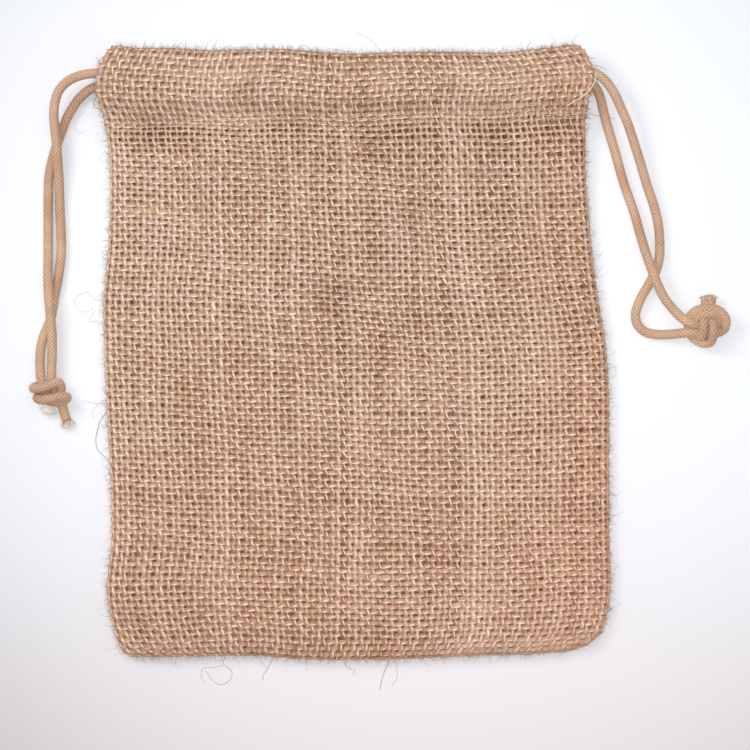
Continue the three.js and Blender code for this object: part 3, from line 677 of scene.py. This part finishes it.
class Weave:
    """The crossings of one panel's yarns: place across and length up of each, unevenly spaced."""

    def __init__(self, panel):
        self.panel = panel
        self.warps = int(round(panel.width / WARP_PITCH))
        self.wefts = int(round(panel.length / WEFT_PITCH))
        u = (np.arange(self.warps)[:, None] + 0.5) / self.warps * panel.width
        v = (np.arange(self.wefts)[None, :] + 0.5) / self.wefts * panel.length
        inner = np.clip(np.minimum(u, panel.width - u) / EVEN_EDGE, 0, 1)
        from_ends = np.clip(np.minimum(v, panel.length - v) / EVEN_EDGE, 0, 1)
        apart, wander, swells = WARP_UNEVEN
        across = inner * (chance.normal(0, apart, (self.warps, 1)) + drift(self.warps, v, *wander)
                          + swell(u, v, *swells))
        apart, wander, swells = WEFT_UNEVEN
        along = from_ends * (chance.normal(0, apart, (1, self.wefts))
                             + drift(self.wefts, u.T, *wander).T + swell(u, v, *swells))
        body = smooth(*BOW_IN, v) * (1 - smooth(*(panel.fold_start - np.array(BOW_OUT)), v))
        lowest = panel.width / 2 + BOW_LOWEST
        along = along + BOW_SLOPE * (np.hypot(u - lowest, BOW_ROUND) - BOW_MEAN) * body
        if panel.front:
            from_stitch = v - HALF_HEIGHT - panel.spare - stitch_y(u - panel.width / 2 + 2)
            along = along - STITCH_SQUEEZE * from_stitch * np.exp(-((from_stitch / SQUEEZE_REACH) ** 2))
        self.s = np.clip((u + across) / panel.width, 0.002, 0.998)
        self.q = np.clip(v + along, 0.3, panel.length - 0.3)
        self.over = np.where((np.arange(self.warps)[:, None] + np.arange(self.wefts)) % 2 == 0, 1.0, -1.0)

    def fullness(self, s, q):
        """Yarns pulled thinner by the seam just below the casing's stitches, most at a few places."""
        if not self.panel.front:
            return 1.0
        x, y = np.moveaxis(self.panel.place(s, q)[..., :2], -1, 0)
        below = stitch_y(x) - y
        start, end = PULL_BAND
        band = smooth(*start, below) * (1 - smooth(*end, below))
        pulled = sum(pull * np.exp(-((x - middle) / reach) ** 2) for middle, reach, pull in PULLED)
        return 1 - band * (PULL + pulled)


def yarn_rings(panel, s, q, offset, sideways, width, thick, sides):
    """Rings of flattened yarns. s, q and the rest are yarns x stations."""
    normal = panel.normal(s, q)
    line = panel.place(s, q) + offset[..., None] * normal
    ahead = np.gradient(line, axis=1)
    across = unit(np.cross(ahead, normal))
    line = line + sideways[..., None] * across
    up = unit(np.cross(across, ahead))
    top = 0.25 if panel.front else 0.75         # the outward side, where the map of a yarn starts
    angle = top * 2 * math.pi + round_turn(sides)
    ring = (np.cos(angle)[:, None] * (across * width[..., None] / 2)[:, :, None]
            + np.sin(angle)[:, None] * (up * thick[..., None] / 2)[:, :, None])
    return line[:, :, None] + ring


def stations(at_crossings, fine, between=0.0, first=0.0, last=0.0):
    """One value for each station of each yarn: its start, its crossings, its end, and on fine yarns the
    places halfway between two crossings."""
    count, crossings = at_crossings.shape
    if not fine:
        ends = (np.broadcast_to(end, count) for end in (first, last))
        return np.insert(at_crossings, [0, crossings], np.column_stack(list(ends)), axis=1)
    out = np.empty((count, 2 * crossings + 1))
    out[:, 1::2] = at_crossings
    out[:, 2:-1:2] = between
    out[:, 0], out[:, -1] = first, last
    return out


def middles(values):
    return (values[:, 1:] + values[:, :-1]) / 2


def slubs(count, places, number):
    """Thick places in the spinning, each a few millimetres to two centimetres long."""
    gain = np.zeros((count, places.shape[-1]))
    for _ in range(number):
        yarn = chance.integers(count)
        middle = chance.uniform(0, places.max())
        reach, size = chance.uniform(3, 12), chance.uniform(0.2, 0.55)
        along = places[min(yarn, len(places) - 1)]
        gain[yarn] += size * np.exp(-(((along - middle) / reach) ** 2))
    return gain


# Thickness of a yarn: scatter from yarn to yarn and slow drift along it, and how its height is kept within
# limits and is a little less at the crossings. Then the lengths of the waves of its shade.
UNEVEN_THICKNESS, THICKNESS_DRIFT = 0.08, ((9, 23, 60), 0.07)
THICK_LIMITS, THICK_BETWEEN, LESS_AT_CROSSING = (0.8, 1.1), 1.08, 0.1
SHADE_WAVES = (7, 17, 60)
# How far in from the fold, the side seams and the bottom seam the yarns are darker and carry less of the
# painted highlight, and by how much.
EDGE_REACHES, EDGE_SHADE, EDGE_LESS_HIGHLIGHT = (3.4, 4.2, 3.2), 0.1, 0.45
FOLD_EDGE_SHARE = 0.4                 # share of the fold at its outermost line
# The back lies in shade, most of all under the casing, and less low down.
BACK_SHADE, CASING_SHADE, LOW_SHADE = -0.14, -0.3, 0.26
CASING_BAND, LOW_DOWN = (109, 8), (30, 190)
# Strength of the painted highlight on a float: more on the outside, its scatter and its drift; and how the
# highlight's line wanders.
OUTSIDE_HIGHLIGHT, FLOAT_HIGHLIGHT = 0.14, 0.2
HIGHLIGHT_DRIFT, HIGHLIGHT_PLACE_DRIFT = ((11, 31), 0.12), ((7, 19), 0.12)


def yarns(weave, name, warp, sides, rows=slice(None)):
    """The warp or the weft of a panel as one mesh of yarns. rows picks some of the yarns."""
    panel = weave.panel
    fine = panel.front
    s, q, over = (weave.s, weave.q, weave.over) if warp else (weave.s.T, weave.q.T, -weave.over.T)
    count, crossings = s.shape
    s_ends = (s[:, 0], s[:, -1]) if warp else (0.0, 1.0)
    q_ends = (0.0, panel.length) if warp else (q[:, 0], q[:, -1])
    s, q = stations(s, fine, middles(s), *s_ends), stations(q, fine, middles(q), *q_ends)
    length = q if warp else s * panel.width
    level, at_crossing = stations(over, fine), stations(np.ones(over.shape), fine)
    lean = stations(np.zeros(over.shape), fine, over[:, :-1])
    waist, own_shade, own_highlight, shade_drift = WARP_VARIES if warp else WEFT_VARIES
    thickness = (1 + chance.normal(0, UNEVEN_THICKNESS, (count, 1))
                 + drift(count, length, *THICKNESS_DRIFT) + slubs(count, length, count))
    width = (YARN_WIDTH if fine else BACK_YARN_WIDTH) * thickness * weave.fullness(s, q) * (
        1 - waist + waist * at_crossing)
    thick = YARN_THICK * np.clip(thickness, *THICK_LIMITS) * (
        THICK_BETWEEN - LESS_AT_CROSSING * at_crossing)
    tone = (0.5 + chance.normal(0, own_shade, (count, 1))
            + drift(count, length, SHADE_WAVES, shade_drift))
    from_edges = (
        q - panel.fold_start - FOLD_EDGE_SHARE * panel.fold_arc, np.minimum(s, 1 - s) * panel.width, q)
    at_edge = sum(np.exp(-((away / reach) ** 2)) for away, reach in zip(from_edges, EDGE_REACHES))
    if fine:
        tone = tone - EDGE_SHADE * at_edge
    else:
        middle, reach = CASING_BAND
        under_casing = np.exp(-(((q - HALF_HEIGHT - middle) / reach) ** 2))
        low = 1 - smooth(*LOW_DOWN, q)
        tone = tone + BACK_SHADE + CASING_SHADE * under_casing + LOW_SHADE * low
    outward = level if panel.front else -level
    slant = -(WARP_SLANT if warp else WEFT_SLANT) * lean
    rings = yarn_rings(panel, s, q, CRIMP * level, slant, width, thick, sides)
    bright = chance.normal(0, FLOAT_HIGHLIGHT, over.shape)
    bright = stations(bright, fine, np.where(over[:, :-1] > 0, bright[:, :-1], bright[:, 1:]))
    # Painted highlight: the pale line on each float, where it lies around the yarn and how strong it is.
    line_place, line_highlight = (np.interp(lean, (-1, 0, 1), values) for values in (
        (WARP_HIGHLIGHT_PLACE, WARP_HIGHLIGHT) if warp else (WEFT_HIGHLIGHT_PLACE, WEFT_HIGHLIGHT)))
    worn = (line_highlight + OUTSIDE_HIGHLIGHT * outward + bright + drift(count, length, *HIGHLIGHT_DRIFT)
            + chance.normal(0, own_highlight, (count, 1)) - EDGE_LESS_HIGHLIGHT * at_edge)
    # The outward floats are marked to be painted lighter in the material: painted shade in the depth of the
    # weave.
    marks = {"tone": tone, "crown": 0.5 + 0.5 * outward, "worn": worn,
             "worn_place": (line_place + drift(count, length, *HIGHLIGHT_PLACE_DRIFT)) * MM}
    marks = {key: values[rows] for key, values in marks.items()}
    return add_tubes(name, rings[rows], marks, length[rows], jute)


# Raw jute: dry and matt, each yarn its own shade, with a painted highlight: a pale line that follows the
# twist along the top of each float, and painted shade on the yarn away from it. Some places are stained; the
# rows are a stain's middle and its reach, in metres.
STAINS = [((-0.101, 0.112, 0.012), 0.015), ((-0.008, 0.030, 0.009), 0.022), ((0.030, 0.068, 0.009), 0.016),
          ((-0.052, 0.131, 0.020), 0.014), ((0.049, 0.131, 0.020), 0.012), ((0.010, 0.102, 0.011), 0.013)]
PAINTED_HIGHLIGHT_COLOUR = (0.915, 0.745, 0.62, 1)

jute = new_material("raw_jute", 0.92, 0.1, (1, 0.84, 0.68))
jute_shader = jute.node_tree.nodes["Principled BSDF"]
jute_shader.inputs["Subsurface Weight"].default_value = 0.5
jute_shader.inputs["Subsurface Radius"].default_value = (0.8, 0.75, 0.7)
jute_shader.inputs["Subsurface Scale"].default_value = 0.0015

along = along_map(jute)
around = node(jute, "ShaderNodeSeparateXYZ", Vector=along).outputs["Y"]
place = object_place(jute)
streaks = streaked(jute, along, 0.3, (500, 4200), 4.0, 0.6)
# Floats on a panel's outer face are painted lighter than those beneath them: painted shade in the depth of
# the weave.
shade = weighted(jute, [(attribute(jute, "tone"), 0.6), (streaks, 0.5), (attribute(jute, "crown"), 0.22),
                        (noise(jute, place, 18.0, 5.0), 0.45)], -0.39)
jute_colour = ramp(jute, shade, [
    (0.15, (0.264, 0.131, 0.058)), (0.4, (0.422, 0.252, 0.145)), (0.62, (0.545, 0.369, 0.255)),
    (0.9, (0.65, 0.488, 0.358))])

# Painted highlight: a pale line at a set place around each yarn, its strength given per float.
off_line = node(jute, "ShaderNodeMath", {"operation": "ABSOLUTE"}, _0=weighted(
    jute, [(attribute(jute, "worn_place"), -1.0)], around)).outputs[0]
line = eased(jute, off_line, 0.00008, 0.00036, 1.0, 0.0)
worn = node(jute, "ShaderNodeMath", {"operation": "MULTIPLY", "use_clamp": True}, _0=line, _1=weighted(
    jute, [(attribute(jute, "worn"), 1.3), (streaks, 0.9)], -0.9)).outputs[0]
# Painted shade: away from its pale line, down its flanks, each yarn is darker.
painted_flank_shade = eased(jute, off_line, 0.0004, 0.001, 0.0, 0.35)
jute_colour = mixed(jute, painted_flank_shade, jute_colour, (0.7, 0.58, 0.48, 1), "MULTIPLY")
jute_colour = mixed(jute, worn, jute_colour, PAINTED_HIGHLIGHT_COLOUR)

# The cloth is a little redder low down and at the far right.
sides = node(jute, "ShaderNodeSeparateXYZ", Vector=place).outputs
low_down, far_right = eased(jute, sides["Y"], 0.04, -0.15), eased(jute, sides["X"], 0.06, 0.13)
redder = weighted(jute, [(low_down, 0.7), (far_right, 0.6)], 0.0)
jute_colour = mixed(jute, redder, jute_colour, (1.09, 0.985, 0.955, 1), "MULTIPLY")
for middle, reach in STAINS:
    away = node(jute, "ShaderNodeVectorMath", {"operation": "DISTANCE"}, _0=place, _1=middle)
    stained = eased(jute, away.outputs["Value"], 0.0, reach, 0.24, 0.0)
    jute_colour = mixed(jute, stained, jute_colour, (0.3, 0.2, 0.13, 1), "MULTIPLY")
hue = weighted(jute, [(noise(jute, place, 190.0, 3.0), 0.045)], 0.5 - 0.0255)
jute_colour = node(jute, "ShaderNodeHueSaturation", Hue=hue, Color=jute_colour).outputs["Color"]
surface(jute, jute_colour, streaks, 0.7)

front_weave = Weave(Panel(front=True))
back_weave = Weave(Panel(front=False))
body_rows = int(front_weave.wefts * (STITCH_Y + HALF_HEIGHT) / front_weave.panel.length)

front_warp = yarns(front_weave, "front_warp", True, 5)
front_body_weft = yarns(front_weave, "front_body_weft", False, 6, slice(0, body_rows))
front_hem_weft = yarns(front_weave, "front_hem_weft", False, 6, slice(body_rows, None))
back_warp = yarns(back_weave, "back_warp", True, 4)
back_weft = yarns(back_weave, "back_weft", False, 4)
for piece in (front_warp, front_body_weft, front_hem_weft):
    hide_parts("front_panel")
for piece in (back_warp, back_weft):
    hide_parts("back_panel")
front_panel, back_panel = front_weave.panel, back_weave.panel

# ---------------------------------------------------------------- stitches and loose threads
# The casing is sewn down through both layers with one row of jute-coloured thread. Four ends hang loose:
# a cream thread over the casing from the right end of the tunnel, and three thinner ones at the sides.

THREAD = 0.42
STITCH_LENGTH, STITCH_HOLE = 3.0, 0.7
STITCH_SPAN, STITCH_STATIONS = (-122, 114), 7
STITCH_SUNK = 0.2               # how far the ends of a stitch sink into the cloth

thread = new_material("sewing_thread", 0.8, 0.3, (1, 0.92, 0.82))
thread_tone = weighted(
    thread, [(attribute(thread, "tone"), 0.8), (noise(thread, along_map(thread), 1500.0), 0.4)], -0.2)
surface(thread, ramp(thread, thread_tone, [
    (0.0, (0.3, 0.25, 0.2)), (0.4, (0.55, 0.42, 0.3)), (0.7, (0.8, 0.66, 0.52)), (1.0, (0.9, 0.82, 0.72))]))
# Where the search for a place on the cloth starts, over what width, and how often it is improved.
SEARCH_FROM, SEARCH_WIDTH, SEARCH_ROUNDS = -126, 254, 12


def find_on(panel, x, y):
    """Share of the width and length of cloth of the places x, y on the outside of a panel."""
    s, q = (x - SEARCH_FROM) / SEARCH_WIDTH, y + HALF_HEIGHT + panel.spare
    for _ in range(SEARCH_ROUNDS):
        found = panel.place(s, q)
        s = np.clip(s + (x - found[..., 0]) / panel.width, 0.001, 0.999)
        q = np.clip(q + (y - found[..., 1]), 0.5, panel.fold_start)
    return s, q


def round_tubes(lines, thick, sides):
    """Rings around lines of tubes x stations x 3."""
    ahead = unit(np.gradient(lines, axis=1))
    across = unit(np.cross(ahead, (0, 0, 1.0)))
    up = np.cross(across, ahead)
    turn = math.pi / 2 + round_turn(sides)
    return lines[:, :, None] + (thick / 2)[..., None, None] * (
        np.cos(turn)[:, None] * across[:, :, None] + np.sin(turn)[:, None] * up[:, :, None])


stitch_x = np.arange(*STITCH_SPAN, STITCH_LENGTH)
stitch_x = stitch_x + chance.normal(0, 0.25, len(stitch_x))
stitch_share = np.linspace(0, 1, STITCH_STATIONS)
reach = (STITCH_LENGTH - STITCH_HOLE) * chance.uniform(0.85, 1.05, (len(stitch_x), 1))
x = stitch_x[:, None] + reach * stitch_share
y = stitch_y(x) + chance.normal(0, 0.22, (len(stitch_x), 1)) + chance.normal(0, 0.15, x.shape) * 0.6
lift = np.sin(math.pi * stitch_share) ** 0.5 - STITCH_SUNK
s, q = find_on(front_panel, x, y)
stitch_lines = front_panel.place(s, q) + np.broadcast_to(lift, x.shape)[..., None] * front_panel.normal(s, q)
rings = round_tubes(stitch_lines, np.full(x.shape, THREAD), 6)
tone = np.broadcast_to(chance.uniform(0.45, 0.95, (len(stitch_x), 1)), x.shape)
add_tubes("casing_stitches", rings, {"tone": tone}, reach * stitch_share, thread)

# Loose ends, as x, y and height of the places they pass.
LOOSE_CREAM = [(121, 140.4, 14.5), (120.5, 138.5, 18.6), (120.2, 135.6, 18.2), (117.7, 131.4, 18.3),
               (113.2, 127.4, 18.4), (109.6, 125.4, 18.2), (106.4, 123.2, 17.6)]
SEAM_LOOP = [(-126.6, 127.9, 7.4), (-128.6, 127.6, 7.8), (-129.9, 126.2, 6.4), (-130.1, 124.4, 5.2),
             (-128.8, 122.9, 5.6), (-126.8, 122.4, 6.6)]
SEAM_HAIR = [(-133.4, 121.6, 3.4), (-137.2, 119, 2.2), (-139.6, 115.6, 1.2), (-139.4, 112.2, 1.4),
             (-136.4, 110.8, 2.4), (-133.6, 111.8, 3.0)]
RIGHT_END = [(117, 119.6, 7.4), (120.6, 119.4, 6.2), (124.5, 118.6, 4.4), (128.2, 118.4, 2.6),
             (130.8, 117.6, 1.2)]


def loose_thread(name, rows, thick, tone, step=0.5):
    line = smooth_line(rows, step)[0][None]
    rings = round_tubes(line, np.full(line.shape[:2], thick), 6)
    lengths = np.arange(line.shape[1]) * step
    add_tubes(name, rings, {"tone": np.full(line.shape[:2], tone)}, lengths[None], thread)


loose_thread("loose_cream_thread", LOOSE_CREAM, 0.55, 0.9)
loose_thread("left_seam_thread", SEAM_LOOP, 0.4, 0.25)
loose_thread("left_seam_hair", SEAM_HAIR, 0.16, 0.3)
loose_thread("right_seam_thread", RIGHT_END, 0.3, 0.4)

# ---------------------------------------------------------------- frayed ends of the drawstrings
# The cords are cut and not whipped, so past each knot the braid opens into a brush of pale cotton: soft
# unlaid yarns with fine fibres between them.

fray_cotton = new_material("frayed_cotton", 0.9, 0.4, (1, 0.96, 0.9))
surface(fray_cotton, ramp(fray_cotton, attribute(fray_cotton, "tone"), [
    (0.0, (0.36, 0.21, 0.13)), (0.4, (0.56, 0.4, 0.28)), (0.75, (0.78, 0.66, 0.55)),
    (1.0, (0.9, 0.84, 0.77))]))

BEND_FIRST, BEND_LATER = 0.6, 0.8       # a hair bends more towards its tip
DROOP = 1.7                             # and sinks by this share of its first climb


def hairs(starts, heading, rise, length, bend, thick, stations, sides=3, taper=0.6):
    """Rings of fine hairs. Each starts at a point, sets off on a heading and bends as it goes."""
    step = (length / (stations - 1))[:, None]
    share = np.linspace(0, 1, stations)
    angle = heading[:, None] + bend[:, None] * share * (BEND_FIRST + BEND_LATER * share)
    climb = rise[:, None] * (1 - DROOP * share)
    ahead = np.stack(
        [np.cos(angle) * np.cos(climb), np.sin(angle) * np.cos(climb), np.sin(climb)], axis=-1)
    line = starts[:, None] + np.concatenate(
        [np.zeros((len(starts), 1, 3)), np.cumsum(ahead[:, :-1] * step[..., None], axis=1)], axis=1)
    line[..., 2] = np.maximum(line[..., 2], thick[:, None])
    return round_tubes(line, thick[:, None] * (1 - taper * share**2), sides), step * np.arange(stations)


def add_hairs(name, tone, material, slot, *shape, **section):
    rings, lengths = hairs(*shape, **section)
    tone = np.broadcast_to(tone.reshape(len(rings), -1), rings.shape[:2])
    add_tubes(name, rings, {"tone": tone}, lengths, material)


# What a frayed end is made of: kind, number, thinnest and thickest, sides, and how far they pass the yarns.
FRAYED = (("yarns", 15, (1.1, 1.5), 6, 0), ("fibres", 70, (0.12, 0.26), 3, 1.2))
FRAY_STATIONS = 6
BRUSH_ROOT, FAN_SHORTER = 0.33, 0.18    # the brush starts within this share of the cord's thickness


def frayed_end(cord, start, name, heading, spread, yarn_length, tone_base, tone_tip):
    """The brush at one end of a cord: soft unlaid yarns that fan out, with fine fibres between them.
    heading is in degrees, and spread is how far it fans to either side."""
    end = cord.line[0 if start else -1]
    heading = math.radians(heading)
    side = np.array((-math.sin(heading), math.cos(heading), 0))
    for kind, strands, thick, sides, longer in FRAYED:
        fan = np.linspace(-1, 1, strands) + chance.normal(0, 0.08, strands)
        level = chance.uniform(-0.7, 0.7, strands)
        starts = end + CORD * BRUSH_ROOT * (fan[:, None] * side + level[:, None] * (0, 0, 1.0))
        length = (yarn_length + longer) * chance.uniform(0.8, 1.08, strands) * (1 - FAN_SHORTER * fan**2)
        share = np.linspace(0, 1, FRAY_STATIONS)
        tone = tone_base + (tone_tip - tone_base) * share**1.3 + chance.normal(0, 0.1, (strands, 1))
        add_hairs(f"{name}_frayed_{kind}", tone, fray_cotton, "cotton_cord", starts,
                  heading + math.radians(spread) * fan + chance.normal(0, 0.12, strands), 0.2 * level,
                  length, chance.normal(0, 0.35, strands), chance.uniform(*thick, strands),
                  FRAY_STATIONS, sides=sides, taper=0.45)


frayed_end(left_cord, True, "left_front", -100, 50, 4.2, 0.85, 1.0)
frayed_end(left_cord, False, "left_back", -74, 36, 4.0, 0.1, 1.0)
frayed_end(right_cord, True, "right_front", 84, 34, 1.9, 0.1, 0.5)
frayed_end(right_cord, False, "right_back", 98, 34, 1.9, 0.1, 0.5)

# ---------------------------------------------------------------- stray jute fibres
# Raw jute sheds hairs: short fuzz stands up all over the weave, a dense fringe of it edges the seams and
# the mouth, and longer stray fibres curl out past them.

fibre = new_material("jute_fibre", 0.85, 0.3, (1, 0.9, 0.78))
surface(fibre, ramp(fibre, attribute(fibre, "tone"), [
    (0.0, (0.2, 0.12, 0.075)), (0.4, (0.42, 0.28, 0.19)), (0.75, (0.66, 0.5, 0.37)),
    (1.0, (0.84, 0.72, 0.58))]))


def on_cloth(panel, s, q, lift):
    return panel.place(s, q) + lift[:, None] * panel.normal(s, q)


TOP_OF_FOLD = 0.42              # share of the fold that the fringe of the mouth starts from


def round_the_edge(count, shares):
    """Places along the left side, the right side, the bottom seam and the fold of the mouth, and the
    heading that points out of the sack there."""
    edge = chance.choice(4, count, p=shares)
    mouth_q = front_panel.fold_start + front_panel.fold_arc * TOP_OF_FOLD
    s = np.choose(edge, [np.zeros(count), np.ones(count), *chance.uniform(0.01, 0.99, (2, count))])
    q = np.choose(edge, [*chance.uniform(2, front_panel.fold_start, (2, count)),
                         chance.uniform(0, 3, count), mouth_q + chance.uniform(-1.5, 1.5, count)])
    return s, q, np.choose(edge, [math.pi, 0, -math.pi / 2, math.pi / 2])


FUZZ = 4400
add_hairs("front_fuzz", chance.normal(0.72, 0.22, FUZZ), fibre, "jute",
          on_cloth(front_panel, chance.uniform(0.01, 0.99, FUZZ),
                   chance.uniform(2, front_panel.fold_start + 8, FUZZ), chance.uniform(0.45, 0.9, FUZZ)),
          chance.uniform(0, 2 * math.pi, FUZZ), chance.uniform(0.0, 0.5, FUZZ),
          chance.gamma(3, 1.0, FUZZ) + 0.8, chance.normal(0, 1.2, FUZZ),
          chance.uniform(0.06, 0.14, FUZZ), 4)

FRINGE = 4400
s, q, outward = round_the_edge(FRINGE, [0.22, 0.2, 0.18, 0.4])
add_hairs("edge_fringe", chance.normal(0.42, 0.2, FRINGE), fibre, "jute",
          on_cloth(front_panel, s, q, np.full(FRINGE, 0.3)), outward + chance.normal(0, 0.7, FRINGE),
          chance.normal(0, 0.3, FRINGE), chance.gamma(3, 0.55, FRINGE) + 0.5, chance.normal(0, 1.0, FRINGE),
          chance.uniform(0.07, 0.15, FRINGE), 4)

STRAYS = 340
s, q, outward = round_the_edge(STRAYS, [0.34, 0.28, 0.22, 0.16])
add_hairs("stray_hairs", chance.normal(0.35, 0.2, STRAYS), fibre, "jute",
          on_cloth(front_panel, s, q, np.full(STRAYS, 0.2)), outward + chance.normal(0, 0.8, STRAYS),
          chance.normal(0, 0.25, STRAYS), np.minimum(chance.gamma(2.2, 1.6, STRAYS) + 1.2, 9.5),
          chance.normal(0, 2.0, STRAYS), chance.uniform(0.08, 0.15, STRAYS), 8)

# A few long single hairs lie on the floor, one end caught in a seam. Each row is its thickness, its tone,
# its height where it leaves the cloth, and the places it passes, x and y.
LONG_HAIRS = [
    (0.3, 0.1, 4, [(-123.5, -29.1), (-126.6, -33), (-128.4, -38), (-129.4, -43.8), (-128.4, -48),
                   (-125, -51.6), (-120.8, -53.4)]),
    (0.17, 0.35, 3, [(-120.8, -27), (-125.2, -25.2), (-130.4, -24.8), (-136, -23.6)]),
    (0.15, 0.4, 2, [(-128, -25.4), (-130.8, -28.6), (-130.6, -33)]),
    (0.16, 0.45, 2, [(-125, 27.4), (-128.8, 26.5), (-131.1, 29), (-134, 30.8), (-137.2, 29.6), (-140.2, 27.2),
                     (-139.4, 23.6), (-137, 21.3), (-133.6, 21), (-130.4, 23)]),
    (0.16, 0.4, 2, [(-127.6, 15.8), (-132.4, 16.6), (-131.8, 18.8), (-129.4, 21.8)]),
    (0.2, 0.2, 3, [(-64.4, -151.4), (-65.3, -155.8), (-61.8, -158.3), (-61, -161.3), (-63.1, -164.6),
                   (-66.5, -166), (-70, -164.6), (-74.4, -158.7)]),
    (0.16, 0.25, 2, [(-65.8, -156.2), (-70.4, -157.3), (-75.3, -157.7), (-76.6, -160.6), (-75.3, -165)]),
    (0.22, 0.15, 3, [(-40.2, -152), (-43.2, -158.1), (-45.4, -161.2), (-45.4, -163.9)]),
    (0.18, 0.25, 3, [(-47.2, -152.4), (-45.8, -155.2), (-43.2, -158.1)]),
    (0.14, 0.3, 3, [(-23.8, -153), (-23.4, -156.8), (-23.6, -160.2)]),
    (0.22, 0.15, 3, [(-5.4, -152), (-3.2, -157.4), (0.6, -159), (-0.6, -161.2)]),
    (0.27, 0.1, 3, [(18.2, -152), (16.4, -157), (14.4, -162.4), (13.1, -168.8)]),
    (0.16, 0.25, 3, [(20.2, -152), (21.6, -157.4), (21.6, -162.7), (18.9, -167.2)]),
    (0.16, 0.3, 9, [(14.4, 149.6), (11.6, 154.2), (6.8, 158.4), (1.4, 161.2)]),
    (0.17, 0.25, 9, [(-0.6, 150.6), (-5.6, 152.2), (-12.4, 153.2)]),
    (0.16, 0.3, 7, [(111, 153.6), (109.6, 156.6), (112.6, 160.4)]),
    (0.16, 0.35, 6, [(119.4, 144.6), (124.6, 143.8), (128.2, 141.4)]),
]
HAIR_STATIONS, HAIR_STEP = 26, 0.25


def long_hair(height, places):
    """The line of one long hair, which sinks to the floor along its first third."""
    line = smooth_line([(x, y, 0) for x, y in places], HAIR_STEP)[0]
    share, evenly = np.linspace(0, 1, HAIR_STATIONS), np.linspace(0, 1, len(line))
    line = np.stack([np.interp(share, evenly, line[:, k]) for k in range(3)], axis=-1)
    line[:, 2] = 0.25 + height * (1 - smooth(0, 0.35, share))
    return line


hair_lines = np.array([long_hair(height, places) for _, _, height, places in LONG_HAIRS])
thickest, hair_tone = (np.array([row[k] for row in LONG_HAIRS])[:, None] for k in range(2))
hair_rings = round_tubes(hair_lines, thickest * np.linspace(1, 0.7, HAIR_STATIONS), 4)
hair_lengths = np.linalg.norm(np.diff(hair_lines, axis=1), axis=-1).sum(axis=1)[:, None]
add_tubes("long_hairs", hair_rings, {"tone": np.tile(hair_tone, HAIR_STATIONS)},
          hair_lengths * np.linspace(0, 1, HAIR_STATIONS), fibre)

# ---------------------------------------------------------------- floor and light
# A pale floor under the sack, painted darker and less blue towards the bottom as shade where the light falls
# off. Even light falls from all round and from above, a stronger lamp stands at the upper left, and a
# soft-edged one just behind the camera reaches into the weave's holes.

FLOOR_HALF = 2.5
floor_mesh = bpy.data.meshes.new("floor")
corners = [(x * FLOOR_HALF, y * FLOOR_HALF, 0) for x, y in ((-1, -1), (1, -1), (1, 1), (-1, 1))]
floor_mesh.from_pydata(corners, [], [(0, 1, 2, 3)])
floor = add_object("floor", floor_mesh)
paper = new_material("pale_floor", 0.8, 0, (1, 1, 1))
# Painted shade: the floor's colour darkens and loses blue towards the bottom.
floor_y = node(paper, "ShaderNodeSeparateXYZ", Vector=object_place(paper)).outputs["Y"]
surface(paper, ramp(paper, eased(paper, floor_y, 0.0, -0.2), [
    (0.0, (0.775, 0.79, 0.815)), (1.0, (0.74, 0.705, 0.715))]))
floor_mesh.materials.append(paper)

world = bpy.data.worlds.new("world")
bpy.context.scene.world = world
world.use_nodes = True
world.node_tree.nodes["Background"].inputs["Color"].default_value = (0.79, 0.8, 0.86, 1)
world.node_tree.nodes["Background"].inputs["Strength"].default_value = 0.42


def add_lamp(name, kind, energy, place, aim, **settings):
    """A lamp at a place, turned towards another place. A sun has only its direction."""
    data = bpy.data.lights.new(name, kind)
    for key, value in settings.items():
        setattr(data, key, value)
    data.energy = energy
    lamp = add_object(name, data)
    lamp.location = place
    lamp.rotation_euler = (lamp.location - Vector(aim)).to_track_quat("Z", "Y").to_euler()


add_lamp("key", "AREA", 3.8, (-0.62, 0.45, 0.75), (0, 0, 0), shape="DISK", size=0.5)
add_lamp("ceiling", "SUN", 0.42, (0.05, 0.2, 0.6), (0, 0, 0), angle=math.radians(60))
add_lamp("flash", "SPOT", 158, (*VIEW_MIDDLE, CAMERA_RISE + 0.05), (0.06, 0.02, 0),
         shadow_soft_size=0.04, spot_size=math.radians(19), spot_blend=1)

bpy.context.scene.view_settings.view_transform = "Standard"
